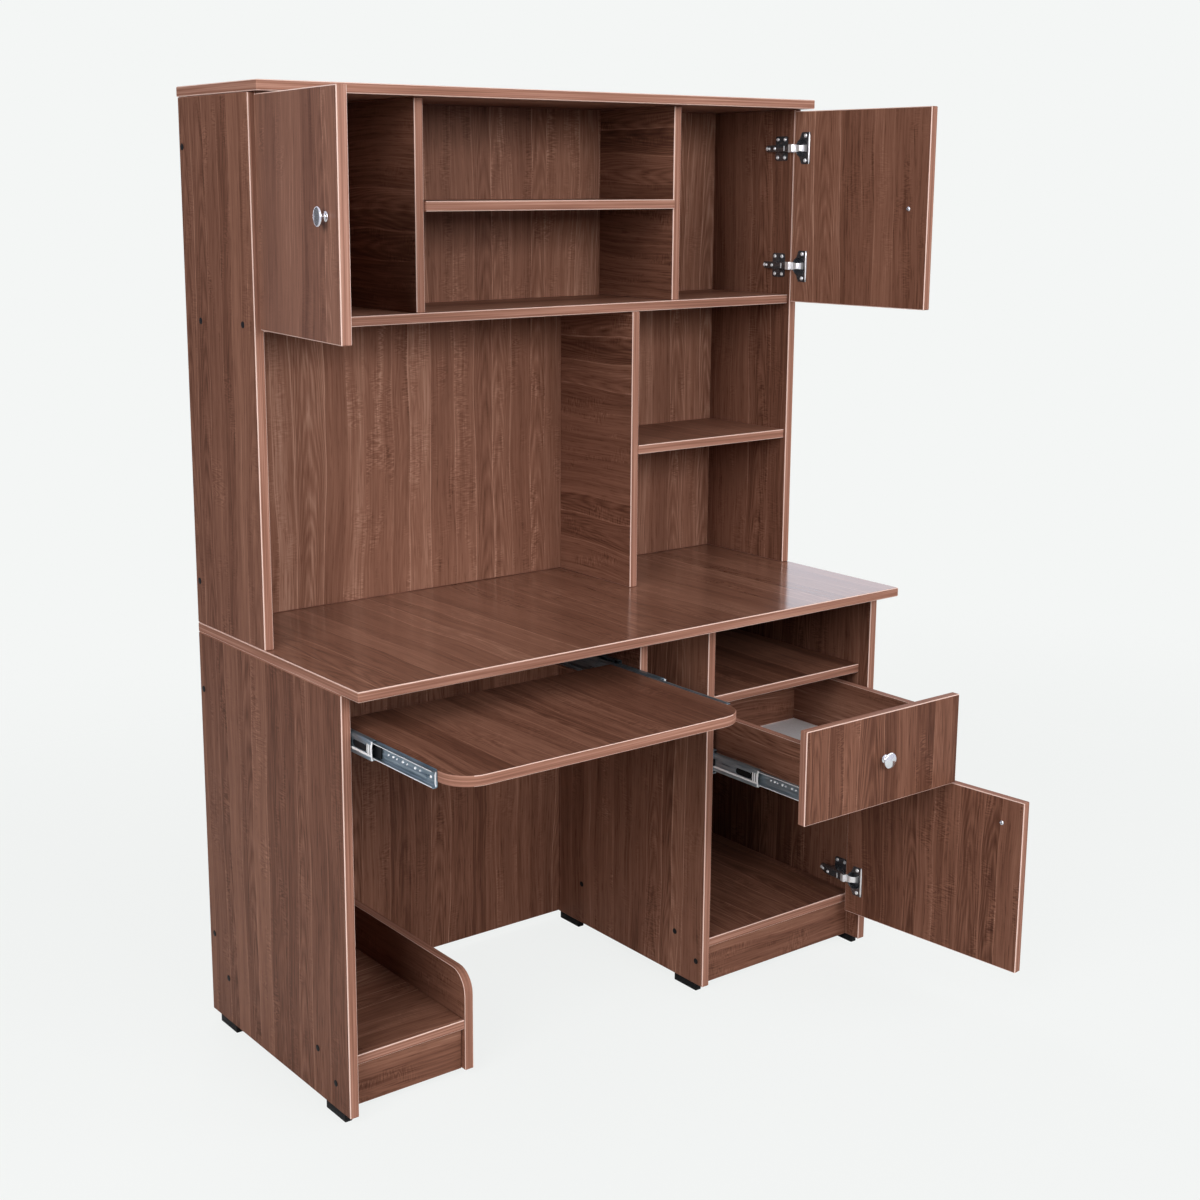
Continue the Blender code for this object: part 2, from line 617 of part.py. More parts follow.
def build_doors():
    """Two doors that lap the hutch sides, and one that closes beside the pedestal's right panel."""
    upper_face = HUTCH_FRONT - DOOR_GAP
    lap = BOARD - DOOR_REVEAL
    knob_at = (UPPER_KNOB_INSET, (UPPER_DOOR_BOTTOM + UPPER_DOOR_TOP) / 2)
    upper = (upper_face, (UPPER_DOOR_BOTTOM, UPPER_DOOR_TOP))
    left_width = lap + LEFT_CABINET_WIDTH + LEFT_DOOR_LAP
    right_width = lap + RIGHT_CABINET_WIDTH + RIGHT_DOOR_LAP
    left_seat = (LEFT_INNER, HUTCH_FRONT, OVERLAY_ARM_STANDOFF)
    right_seat = (RIGHT_INNER, HUTCH_FRONT, OVERLAY_ARM_STANDOFF)
    door("left_door", 1, LEFT + DOOR_REVEAL, left_width, *upper, LEFT_DOOR_OPEN, left_seat, knob_at)
    door("right_door", -1, RIGHT - DOOR_REVEAL, right_width, *upper, RIGHT_DOOR_OPEN, right_seat, knob_at)
    lower = (FRONT_FACE, (LOWER_DOOR_BOTTOM, LOWER_DOOR_TOP))
    lower_width = FRONT_RIGHT - FRONT_LEFT
    lower_seat = (RIGHT_INNER, 0, INSET_ARM_STANDOFF)
    lower_knob = (LOWER_KNOB_INSET, LOWER_DOOR_TOP - LOWER_KNOB_DROP)
    door("lower_door", -1, FRONT_RIGHT, lower_width, *lower, LOWER_DOOR_OPEN, lower_seat, lower_knob)


def slot_outline(centre, length, width):
    """A slot with round ends, along an outline's first direction."""
    reach = (length - width) / 2
    front = arc((centre[0] - reach, centre[1]), width / 2, math.pi / 2, 1.5 * math.pi)
    rear = arc((centre[0] + reach, centre[1]), width / 2, -math.pi / 2, math.pi / 2)
    return front + rear


def channel(name, side, face, front, length, centre, web, lip, height, parent):
    """A C-channel along Y, bent from sheet. Off the face, its web starts at web and its lips end at lip."""
    half = height / 2
    reach = abs(lip - web)
    bend = SLIDE_BEND + SLIDE_SHEET
    lower = (bend, bend - half)
    upper = (bend, half - bend)
    outline = [
        (reach, -half),
        *arc(lower, bend, 1.5 * math.pi, math.pi, CORNER_STEPS),
        *arc(upper, bend, math.pi, math.pi / 2, CORNER_STEPS),
        (reach, half),
        (reach, half - SLIDE_SHEET),
        *arc(upper, SLIDE_BEND, math.pi / 2, math.pi, CORNER_STEPS),
        *arc(lower, SLIDE_BEND, math.pi, 1.5 * math.pi, CORNER_STEPS),
        (reach, SLIDE_SHEET - half),
    ]
    outward = side if lip > web else -side
    to_web = Matrix.Translation((face + side * web, 0, centre))
    to_parent = to_web @ axes((outward, 0, 0), (0, 0, 1), (0, 1, 0))
    return place(name, plate_mesh(name, [outline], front, front + length, to_parent), ZINC, parent)


def ball_rows(piece, side, face, rear, length, centre, lip_edge, race_edge):
    """Joins the two rows of ball cage, one on each lip, that run in the next channel's race."""
    across = sorted(face + side * (BALL_ROW_START + depth) for depth in (0, BALL_ROW_WIDTH))
    along = (rear - length * BALL_ROW_SHARE, rear - SLIDE_SHEET)
    root = lip_edge - SLIDE_SHEET / 2
    spans = []
    for low, high in ((root, race_edge), (-race_edge, -root)):
        spans.append(((across[0], along[0], centre + low), (across[1], along[1], centre + high)))
    combine(piece, box_mesh(piece.name + "_balls", *spans), "UNION")


def slots(piece, side, face, places, centre, sizes):
    """Cuts slots through a channel's web at places along Y, each of its own (length, width)."""
    for at, (length, width) in zip(places, sizes):
        outline = slot_outline((at, centre), length, width)
        low, high = sorted((face - side * FIT, face + side * (SLIDE_SPACE + FIT)))
        combine(piece, plate_mesh(f"{piece.name}_slot", [outline], low, high, SIDEWAYS), "DIFFERENCE")


def slide(name, side, face, outer_front, inner_front, length, centre, middle_body, inner_body):
    """One three-part slide on a cabinet face. side is +1 where the slide stands off the face to +X."""
    screw_slot = (SCREW_SLOT_LENGTH, SCREW_SLOT_WIDTH)
    window = (SLOT_LENGTH, SLOT_WIDTH)
    outer_race = SLIDE_OUTER_HEIGHT / 2 - SLIDE_SHEET - FIT
    inner_race = SLIDE_MIDDLE_HEIGHT / 2 - SLIDE_SHEET - FIT
    rear = outer_front + length

    outer = channel(
        name + "_outer", side, face, outer_front, length, centre, FIT, FIT + SLIDE_OUTER_LIP,
        SLIDE_OUTER_HEIGHT, ROOT,
    )
    outer_places = (outer_front + SLOT_INSET + SLOT_LENGTH / 2, rear - SLOT_INSET)
    slots(outer, side, face, outer_places, centre, (window, screw_slot))

    middle_lip = SLIDE_MIDDLE_START + SLIDE_MIDDLE_LIP
    middle = channel(
        name + "_middle", side, face, outer_front, length, centre, SLIDE_MIDDLE_START, middle_lip,
        SLIDE_MIDDLE_HEIGHT, middle_body,
    )
    ball_rows(middle, side, face, rear, length, centre, SLIDE_MIDDLE_HEIGHT / 2, outer_race)
    slots(middle, side, face, (outer_front + SLOT_INSET + SLOT_LENGTH / 2,), centre, (window,))

    web = SLIDE_SPACE - FIT
    inner = channel(
        name + "_inner", side, face, inner_front, length, centre, web, web - SLIDE_INNER_LIP,
        SLIDE_INNER_HEIGHT, inner_body,
    )
    ball_rows(inner, side, face, inner_front + length, length, centre, SLIDE_INNER_HEIGHT / 2, inner_race)
    inner_places = [inner_front + SLOT_INSET] + [inner_front + length * share for share in SCREW_SLOT_SHARES]
    slots(inner, side, face, inner_places, centre, [screw_slot] * len(inner_places))


def build_tray():
    """The keyboard tray with rounded front corners, the board that hangs beside it, and its two slides."""
    body = make_empty("keyboard_tray_body", (0, -TRAY_PULLED, 0), parent=ROOT)
    middle_body = make_empty("keyboard_slide_body", (0, -TRAY_PULLED / 2, 0), parent=ROOT)
    inset = TRAY_FRONT + TRAY_CORNER_RADIUS
    rear = TRAY_FRONT + TRAY_DEPTH
    left_corner = arc((TRAY_LEFT + TRAY_CORNER_RADIUS, inset), TRAY_CORNER_RADIUS, math.pi, 1.5 * math.pi)
    right_corner = arc((TRAY_RIGHT - TRAY_CORNER_RADIUS, inset), TRAY_CORNER_RADIUS, -math.pi / 2, 0)
    outline = [(TRAY_LEFT, rear), *left_corner, *right_corner, (TRAY_RIGHT, rear)]
    mesh = plate_mesh("keyboard_tray", [outline], TRAY_TOP - BOARD, TRAY_TOP, FLAT)
    round_edges(place("keyboard_tray", mesh, WALNUT, body))

    hanger_depth = (HANGER_SETBACK, HANGER_SETBACK + HANGER_DEPTH)
    hanger_height = (DESK_UNDERSIDE - HANGER_HEIGHT, DESK_UNDERSIDE - FIT)
    board("tray_hanger", (HANGER_LEFT, HANGER_LEFT + BOARD), hanger_depth, hanger_height)
    centre = TRAY_TOP - SLIDE_INNER_HEIGHT / 2
    run = (TRAY_SLIDE_SETBACK, TRAY_FRONT + TRAY_INNER_SETBACK, TRAY_SLIDE_LENGTH, centre, middle_body, body)
    slide("tray_left_slide", 1, LEFT_INNER, *run)
    slide("tray_right_slide", -1, HANGER_LEFT, *run)


def drawer_side(name, face, side, parent):
    """A drawer side with the groove that holds the drawer's bottom. side is +1 where +X is inside."""
    top = DRAWER_BOX_BOTTOM + DRAWER_SIDE_HEIGHT
    groove_low = DRAWER_FLOOR - FIT
    groove_high = DRAWER_FLOOR + DRAWER_BOTTOM + FIT
    depth = DRAWER_SIDE - DRAWER_GROOVE
    outline = [
        (0, DRAWER_BOX_BOTTOM),
        (DRAWER_SIDE, DRAWER_BOX_BOTTOM),
        (DRAWER_SIDE, groove_low),
        (depth, groove_low),
        (depth, groove_high),
        (DRAWER_SIDE, groove_high),
        (DRAWER_SIDE, top),
        (0, top),
    ]
    to_parent = Matrix.Translation((face, 0, 0)) @ axes((side, 0, 0), (0, 0, 1), (0, 1, 0))
    place(name, plate_mesh(name, [outline], DRAWER_BOX_FRONT, DRAWER_BOX_BACK, to_parent), WALNUT, parent)


def build_drawer():
    """The drawer: a front, two grooved sides, a back, a white bottom, a knob and two slides."""
    body = make_empty("drawer_body", (0, -DRAWER_PULLED, 0), parent=ROOT)
    middle_body = make_empty("drawer_slide_body", (0, -DRAWER_PULLED / 2, 0), parent=ROOT)
    front_depth = (FRONT_FACE - BOARD, FRONT_FACE)
    front_height = (DRAWER_FRONT_BOTTOM, PEDESTAL_SHELF_TOP)
    board("drawer_front", (FRONT_LEFT, FRONT_RIGHT), front_depth, front_height, parent=body)
    drawer_side("drawer_left_side", DRAWER_LEFT, 1, body)
    drawer_side("drawer_right_side", DRAWER_RIGHT, -1, body)
    inside = (DRAWER_LEFT + DRAWER_SIDE + FIT, DRAWER_RIGHT - DRAWER_SIDE - FIT)
    top = DRAWER_BOX_BOTTOM + DRAWER_SIDE_HEIGHT
    back_bottom = DRAWER_FLOOR + DRAWER_BOTTOM + FIT
    back_depth = (DRAWER_BOX_BACK - DRAWER_SIDE, DRAWER_BOX_BACK)
    board("drawer_back", inside, back_depth, (back_bottom, top), parent=body)
    reach = DRAWER_GROOVE - 2 * FIT
    floor_span = (DRAWER_LEFT + DRAWER_SIDE - reach, DRAWER_RIGHT - DRAWER_SIDE + reach)
    floor_low = (floor_span[0], DRAWER_BOX_FRONT, DRAWER_FLOOR)
    floor_high = (floor_span[1], DRAWER_BOX_BACK, DRAWER_FLOOR + DRAWER_BOTTOM)
    place("drawer_bottom", box_mesh("drawer_bottom", (floor_low, floor_high)), WHITE_PANEL, body)
    centre_x = (FRONT_LEFT + FRONT_RIGHT) / 2
    centre_z = (DRAWER_FRONT_BOTTOM + PEDESTAL_SHELF_TOP) / 2
    knob("drawer_knob", (centre_x, FRONT_FACE - BOARD, centre_z), body)
    centre = DRAWER_FRONT_BOTTOM + DRAWER_SLIDE_RAISE
    run = (DRAWER_SLIDE_SETBACK, DRAWER_BOX_FRONT, DRAWER_SLIDE_LENGTH, centre, middle_body, body)
    slide("drawer_left_slide", 1, PEDESTAL_INNER, *run)
    slide("drawer_right_slide", -1, RIGHT_INNER, *run)


def stand_on_footprint():
    """Moves the desk so that the origin is on the floor under the middle of its box, as it stands open."""
    bpy.context.view_layer.update()
    pieces = [piece for piece in DESK.objects if piece.type == "MESH"]
    corners = [piece.matrix_world @ Vector(corner) for piece in pieces for corner in piece.bound_box]
    for axis in (0, 1):
        spread = [corner[axis] for corner in corners]
        ROOT.location[axis] = -(min(spread) + max(spread)) / 2


build_base()
build_cpu_side()
build_hutch()
build_doors()
build_tray()
build_drawer()
stand_on_footprint()
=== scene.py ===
"""Looks of the study desk: walnut-print boards, nickel hinges, zinc slides and chrome knobs."""
import json
import math

import bmesh
import bpy
import numpy as np
from mathutils import Matrix, Vector


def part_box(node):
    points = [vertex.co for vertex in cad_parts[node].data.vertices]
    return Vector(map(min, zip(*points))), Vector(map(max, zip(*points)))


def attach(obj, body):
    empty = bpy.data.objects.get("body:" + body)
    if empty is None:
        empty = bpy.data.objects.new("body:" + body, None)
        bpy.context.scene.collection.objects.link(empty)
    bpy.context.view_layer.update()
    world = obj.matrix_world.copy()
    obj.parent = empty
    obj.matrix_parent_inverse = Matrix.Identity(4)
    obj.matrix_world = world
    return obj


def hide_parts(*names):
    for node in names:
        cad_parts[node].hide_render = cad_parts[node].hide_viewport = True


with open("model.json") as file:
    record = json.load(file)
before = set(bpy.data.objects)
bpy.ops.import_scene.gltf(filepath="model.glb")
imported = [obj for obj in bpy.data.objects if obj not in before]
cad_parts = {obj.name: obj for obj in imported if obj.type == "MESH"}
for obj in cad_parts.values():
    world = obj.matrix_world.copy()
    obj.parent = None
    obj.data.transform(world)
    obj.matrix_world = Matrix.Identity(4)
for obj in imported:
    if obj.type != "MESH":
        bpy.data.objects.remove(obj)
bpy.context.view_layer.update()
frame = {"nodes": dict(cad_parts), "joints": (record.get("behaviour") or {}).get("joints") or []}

# Camera: it stands to the front left of the desk at eye height and looks slightly down, as in the photograph.
# Lens and shift follow from the focal length and the middle of the view, in pixels of the square picture.
PICTURE = 1200
FOCAL_LENGTH = 1763.5
VIEW_MIDDLE = (537.2, 545.1)
CAMERA_OFFSET = Vector((-1.3145, -2.2939, 1.5109))  # metres from the lower front corner of the left side
LOOK_DOWN, LOOK_RIGHT = 11.62, 36.42  # degrees
camera = bpy.data.objects.new("camera", bpy.data.cameras.new("camera"))
camera.data.sensor_width = 36
camera.data.lens = camera.data.sensor_width * FOCAL_LENGTH / PICTURE
camera.data.shift_x = 0.5 - VIEW_MIDDLE[0] / PICTURE
camera.data.shift_y = VIEW_MIDDLE[1] / PICTURE - 0.5
camera.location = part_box("base_left_side")[0] + CAMERA_OFFSET
camera.rotation_euler = (math.radians(90 - LOOK_DOWN), 0, math.radians(-LOOK_RIGHT))
bpy.context.scene.collection.objects.link(camera)
bpy.context.scene.camera = camera
bpy.context.scene.view_settings.view_transform = "Standard"


# Studio: a round of pale floor that fades into an even pale backdrop, and six large soft lamps. The floor
# glows a little, as lit paper does, and keeps the shadow. What the glossy finishes mirror of the room is
# slightly lilac, and a dark flag stands to the left behind the desk.
BACKDROP = "#F4F6F5"
REFLECTED = "#EDEAF7"
FLAG_WAY = (-0.34, 0.94, 0.0)
FLAG_EDGE = (0.9, 0.98)  # cosines of the angles from that way at which the flag starts and is full
FLAG_TONE = 0.15
FLOOR_RADIUS = 6.0
FLOOR_POINTS = 96
FLOOR_FADE = (1.6, 3.6)
FLOOR_DROP = 0.0006
FLOOR_GLOW = 0.9
AMBIENT = 0.03
LAMPS = {  # name: (place, width and height, watts), in metres, aimed at the middle of the desk
    "lamp_left": ((-3.4, -1.6, 2.4), (2.2, 2.2), 108),
    "lamp_front": ((0.4, -4.3, 2.5), (2.6, 1.4), 112),
    "lamp_right": ((3.2, -2.6, 2.4), (2.2, 2.2), 51),
    "lamp_top": ((-0.4, -0.9, 4.2), (2.6, 2.6), 22),
    "lamp_back": ((0.9, 4.0, 2.2), (2.6, 2.2), 90),
    "lamp_rear_right": ((4.5, 3.7, 1.9), (3.0, 2.2), 9),
}
LAMP_AIM = Vector((0, 0.1, 0.8))


def linear(code):
    """Turns a colour written as #RRGGBB into the linear values that shaders use."""
    parts = [int(code[i:i + 2], 16) / 255 for i in (1, 3, 5)]
    return tuple(c / 12.92 if c <= 0.04045 else ((c + 0.055) / 1.055) ** 2.4 for c in parts) + (1.0,)


def add(tree, kind, inputs=None, **settings):
    """Adds one node to a shader tree. Each input is a value to set or another node's output to link."""
    node = tree.nodes.new("ShaderNode" + kind)
    for key, value in settings.items():
        setattr(node, key, value)
    for key, value in (inputs or {}).items():
        if isinstance(value, bpy.types.NodeSocket):
            tree.links.new(value, node.inputs[key])
        else:
            node.inputs[key].default_value = value
    return node


world = bpy.data.worlds.new("backdrop")
bpy.context.scene.world = world
world.use_nodes = True
tree = world.node_tree
path = add(tree, "LightPath")
direct = add(tree, "Math", {0: path.outputs["Is Camera Ray"], 1: path.outputs["Is Glossy Ray"]},
             operation="MAXIMUM")
seen = add(tree, "Math", {0: direct.outputs[0], 1: path.outputs["Is Transmission Ray"]}, operation="MAXIMUM")
ways = add(tree, "TexCoord")
flag = add(tree, "VectorMath", {0: ways.outputs["Generated"], 1: FLAG_WAY}, operation="DOT_PRODUCT")
flag = add(tree, "MapRange", {"Value": flag.outputs["Value"], "From Min": FLAG_EDGE[0],
                              "From Max": FLAG_EDGE[1], "To Min": 1.0, "To Max": FLAG_TONE},
           interpolation_type="SMOOTHSTEP")
shown = add(tree, "Mix", {0: path.outputs["Is Camera Ray"], 2: flag.outputs[0], 3: 1.0})
strength = add(tree, "Mix", {0: seen.outputs[0], 2: AMBIENT, 3: shown.outputs[0]})
hue = add(tree, "Mix", {0: path.outputs["Is Camera Ray"], 6: linear(REFLECTED), 7: linear(BACKDROP)},
          data_type="RGBA")
backdrop = tree.nodes["Background"]
tree.links.new(hue.outputs[2], backdrop.inputs["Color"])
tree.links.new(strength.outputs[0], backdrop.inputs["Strength"])

turns = np.linspace(0, 2 * math.pi, FLOOR_POINTS, endpoint=False)
depths = np.full(FLOOR_POINTS, -FLOOR_DROP)
rim = np.stack([FLOOR_RADIUS * np.cos(turns), FLOOR_RADIUS * np.sin(turns), depths], axis=1)
floor_mesh = bpy.data.meshes.new("floor")
floor_mesh.from_pydata(rim.tolist(), [], [list(range(FLOOR_POINTS))])
floor = bpy.data.objects.new("floor", floor_mesh)
bpy.context.scene.collection.objects.link(floor)
paper = bpy.data.materials.new("floor_paper")
paper.use_nodes = True
tree = paper.node_tree
tree.nodes.remove(tree.nodes["Principled BSDF"])
spot = add(tree, "TexCoord")
reach = add(tree, "VectorMath", {0: spot.outputs["Object"]}, operation="LENGTH")
fade = add(tree, "MapRange", {"Value": reach.outputs["Value"], "From Min": FLOOR_FADE[0],
                              "From Max": FLOOR_FADE[1]}, interpolation_type="SMOOTHSTEP")
path = add(tree, "LightPath")
glow = add(tree, "Math", {0: path.outputs["Is Camera Ray"], 1: FLOOR_GLOW}, operation="MULTIPLY")
matt = add(tree, "BsdfDiffuse", {"Color": linear(BACKDROP)})
lit = add(tree, "Emission", {"Color": linear(BACKDROP)})
paper_tone = add(tree, "MixShader", {0: glow.outputs[0], 1: matt.outputs[0], 2: lit.outputs[0]})
clear = add(tree, "BsdfTransparent")
mixed = add(tree, "MixShader", {0: fade.outputs[0], 1: paper_tone.outputs[0], 2: clear.outputs[0]})
tree.links.new(mixed.outputs[0], tree.nodes["Material Output"].inputs["Surface"])
floor_mesh.materials.append(paper)

for name, (place, size, watts) in LAMPS.items():
    lamp = bpy.data.objects.new(name, bpy.data.lights.new(name, "AREA"))
    lamp.data.shape = "RECTANGLE"
    lamp.data.size, lamp.data.size_y = size
    lamp.data.energy = watts
    lamp.location = place
    lamp.rotation_euler = (LAMP_AIM - Vector(place)).to_track_quat("-Z", "Y").to_euler()
    bpy.context.scene.collection.objects.link(lamp)


# Base and hutch boards: 17 mm particle board with a walnut print in melamine on its faces and paler banding
# on its edges. The print has staves of uneven width, streaks, arched rings and ripple marks across the grain.
BOARD_RUNS = {  # the way each board's grain runs
    "Z": ("base_left_side", "base_right_side", "pedestal_left_side", "base_back",
          "hutch_left_side", "hutch_right_side", "hutch_back", "drawer_front",
          "left_door", "right_door", "lower_door"),
    "X": ("pedestal_plinth", "cpu_shelf", "cpu_plinth", "hutch_top", "hutch_long_shelf", "hutch_centre_shelf",
          "drawer_back"),
    "Y": ("cpu_side_board", "tray_hanger", "hutch_left_divider", "hutch_right_divider", "hutch_tall_divider",
          "hutch_right_shelf", "pedestal_bottom", "pedestal_shelf", "keyboard_tray", "drawer_left_side",
          "drawer_right_side"),
}
SHADE_AND_LIGHT_SHIFTS = {  # painted shade and light: boards darker or paler than the others, which stands in for the shade or light that falls on each, darker mostly inside the cabinets and niches
    "base_left_side": -0.1, "hutch_left_side": -0.03, "drawer_front": -0.14, "base_back": -0.1,
    "keyboard_tray": -0.13, "lower_door": -0.11, "base_right_side": -0.1, "hutch_left_divider": -0.12,
    "hutch_right_divider": -0.16, "hutch_tall_divider": -0.04, "hutch_right_side": -0.05,
    "pedestal_bottom": -0.14, "pedestal_shelf": -0.17, "hutch_back": 0.1, "cpu_shelf": 0.04,
}
FREE_BOARDS = (  # boards with a painted highlight line along all of their edges
    "left_door", "right_door", "lower_door", "drawer_front", "drawer_back", "drawer_left_side",
    "drawer_right_side", "cpu_side_board", "hutch_top",
)
BOARD_TONE = 0.5
PRINT_SHIFT = 0.31
GLOSS, DOOR_GLOSS = 0.06, 0.2
ROUGHNESS = 0.4
STAVE = 0.046
STAVE_JUMP = 7.3
WOOD_TONES = ((0.0, "#38211A"), (0.34, "#623F31"), (0.5, "#795242"), (0.7, "#8C6250"), (1.0, "#B88E7A"))
BAND_TONES = ((0.25, "#7C5444"), (0.5, "#9A6D5C"), (0.8, "#BC907E"))
# Painted highlight: the pale colour of the eased arrises between faces and edges, where they catch the light.
ARRIS_HIGHLIGHT = "#E6C6BA"


def tones(tree, value, stops):
    """Adds a colour ramp of the stops, each a position and a colour code, read at the value."""
    ramp = add(tree, "ValToRGB", {0: value})
    for i, (position, code) in enumerate(stops):
        stop = ramp.color_ramp.elements[i] if i < 2 else ramp.color_ramp.elements.new(position)
        stop.position, stop.color = position, linear(code)
    return ramp.outputs[0]


def streaks(tree, place, across, along, deep, detail=2.0):
    """Adds noise with blotches of these sizes in metres, across the grain, along it and through the board."""
    scaled = add(tree, "Mapping", {"Vector": place, "Scale": (1 / across, 1 / along, 1 / deep)})
    return add(tree, "TexNoise", {"Vector": scaled.outputs[0], "Scale": 1.0, "Detail": detail}).outputs[0]


def thickness_of(node):
    """The way a board's broad faces look: the normal of its largest face."""
    faces = frame["nodes"][node].data.polygons
    normal = max(faces, key=lambda face: face.area).normal.copy()
    return max(normal, -normal, key=lambda n: tuple(n)).normalized()


def walnut(name, thickness, grain, shift, tone, gloss=GLOSS, bare=None):
    """Makes the walnut-print melamine of boards with these two axes. Edges that face along bare have no
    painted highlight line. Lengths in the tree are metres."""
    material = bpy.data.materials.new(name)
    material.use_nodes = True
    tree = material.node_tree
    spot = add(tree, "TexCoord")
    turn = Matrix((grain.cross(thickness), grain, thickness)).to_euler()
    place = add(tree, "Mapping", {"Vector": spot.outputs["Object"], "Rotation": turn,
                                  "Location": (shift, shift, 0)}).outputs[0]

    # The grain wanders by about 10 mm over half a metre.
    wander = streaks(tree, place, 0.25, 0.55, 0.02)
    bend = add(tree, "MapRange", {"Value": wander, "From Min": 0.25, "From Max": 0.75,
                                  "To Min": -0.014, "To Max": 0.014})
    axes = add(tree, "SeparateXYZ", {0: place})
    across = add(tree, "Math", {0: axes.outputs[0], 1: bend.outputs[0]}, operation="ADD")

    # Staves: cells along one axis, each with three random values for its tone, its figure and its rings.
    jumped = add(tree, "Math", {0: axes.outputs[2], 1: STAVE_JUMP, 2: across.outputs[0]},
                 operation="MULTIPLY_ADD")
    cell = add(tree, "Math", {0: jumped.outputs[0], 1: STAVE}, operation="DIVIDE")
    stave = add(tree, "TexVoronoi", {"W": cell.outputs[0], "Scale": 1.0}, voronoi_dimensions="1D")
    lot = add(tree, "SeparateColor", {0: stave.outputs["Color"]})
    seam = add(tree, "TexVoronoi", {"W": cell.outputs[0], "Scale": 1.0}, voronoi_dimensions="1D",
               feature="DISTANCE_TO_EDGE")
    line = add(tree, "MapRange", {"Value": seam.outputs["Distance"], "From Min": 0.0, "From Max": 0.05,
                                  "To Min": 1.0, "To Max": 0.0})
    moved = add(tree, "CombineXYZ", {0: across.outputs[0], 1: axes.outputs[1], 2: axes.outputs[2]})
    own = add(tree, "VectorMath", {0: stave.outputs["Color"], 1: (3, 3, 3), 2: moved.outputs[0]},
              operation="MULTIPLY_ADD").outputs[0]

    # Streaks 16 mm and 3 mm wide, and pores 2.5 mm wide and 40 mm long.
    broad = streaks(tree, own, 0.016, 0.45, 0.03, 3.0)
    fine = streaks(tree, own, 0.0032, 0.14, 0.01, 3.0)
    pores = streaks(tree, own, 0.0025, 0.04, 0.01)
    pores = add(tree, "MapRange", {"Value": pores, "From Min": 0.56, "From Max": 0.7})

    # Arches, in part of the staves: rings 34 mm apart along the stave that climb steeply to its sides.
    within = add(tree, "Math", {0: cell.outputs[0], 1: stave.outputs["W"]}, operation="SUBTRACT")
    climb = add(tree, "Math", {0: within.outputs[0], 1: 2.0}, operation="POWER")
    ring_field = streaks(tree, own, 0.03, 0.2, 0.03, 1.0)
    rise = add(tree, "Math", {0: axes.outputs[1], 1: 1 / 0.034, 2: ring_field}, operation="MULTIPLY_ADD")
    rise = add(tree, "Math", {0: climb.outputs[0], 1: 22.0, 2: rise.outputs[0]}, operation="MULTIPLY_ADD")
    rise = add(tree, "Math", {0: ring_field, 1: 4.0, 2: rise.outputs[0]}, operation="MULTIPLY_ADD")
    rings = add(tree, "Math", {0: rise.outputs[0], 1: 1.0}, operation="PINGPONG")
    arched = add(tree, "MapRange", {"Value": lot.outputs[2], "From Min": 0.5, "From Max": 0.8})

    # Ripple marks, in patches 35 mm wide: the contour lines of a noise that is squeezed along the grain.
    waves = streaks(tree, own, 0.05, 0.0095, 0.02, 1.0)
    ripple = add(tree, "Math", {0: waves, 1: 0.07}, operation="PINGPONG")
    ripple = add(tree, "Math", {0: ripple.outputs[0], 1: 1 / 0.07}, operation="MULTIPLY")
    patch = streaks(tree, own, 0.035, 0.1, 0.02, 1.0)
    patch = add(tree, "MapRange", {"Value": patch, "From Min": 0.52, "From Max": 0.64})
    figure = add(tree, "Math", {0: patch.outputs[0], 1: lot.outputs[1]}, operation="MULTIPLY")

    # Each pattern adds its share to the tone.
    for value, share, weight in ((lot.outputs[0], 0.22, None), (broad, 0.42, None), (fine, 0.54, None),
                                 (pores.outputs[0], -0.14, None), (rings.outputs[0], 0.19, arched.outputs[0]),
                                 (ripple.outputs[0], 0.33, figure.outputs[0])):
        part = add(tree, "Math", {0: value, 1: 0.5}, operation="SUBTRACT").outputs[0]
        if weight is not None:
            part = add(tree, "Math", {0: part, 1: weight}, operation="MULTIPLY").outputs[0]
        tone = add(tree, "Math", {0: part, 1: share, 2: tone}, operation="MULTIPLY_ADD").outputs[0]
    lit = add(tree, "Math", {0: line.outputs[0], 1: lot.outputs[2]}, operation="MULTIPLY")
    tone = add(tree, "Math", {0: lit.outputs[0], 1: 0.34, 2: tone}, operation="MULTIPLY_ADD").outputs[0]
    face = tones(tree, tone, WOOD_TONES)

    # The edges: banding with streaks along the edge, and a painted highlight where the arris meets each face.
    facing = add(tree, "VectorMath", {0: spot.outputs["Normal"], 1: thickness}, operation="DOT_PRODUCT")
    facing = add(tree, "Math", {0: facing.outputs["Value"]}, operation="ABSOLUTE")
    band = tones(tree, streaks(tree, place, 0.3, 0.3, 0.0026, 2.0), BAND_TONES)
    is_face = add(tree, "Math", {0: facing.outputs[0], 1: 0.97}, operation="GREATER_THAN", name="is_face")
    # The eased arrises between face and edge get a pale colour, which is a painted highlight.
    is_arris_highlight = add(tree, "Math", {0: facing.outputs[0], 1: 0.7, 2: 0.25}, operation="COMPARE")
    if bare is not None:
        beside = add(tree, "VectorMath", {0: spot.outputs["Normal"], 1: bare}, operation="DOT_PRODUCT")
        other = add(tree, "Math", {0: beside.outputs["Value"], 1: 0.0, 2: 0.3}, operation="COMPARE")
        is_arris_highlight = add(tree, "Math", {0: is_arris_highlight.outputs[0], 1: other.outputs[0]}, operation="MULTIPLY")
    board = add(tree, "Mix", {0: is_face.outputs[0], 6: band, 7: face}, data_type="RGBA")
    board = add(tree, "Mix", {0: is_arris_highlight.outputs[0], 6: board.outputs[2], 7: linear(ARRIS_HIGHLIGHT)},
                data_type="RGBA")

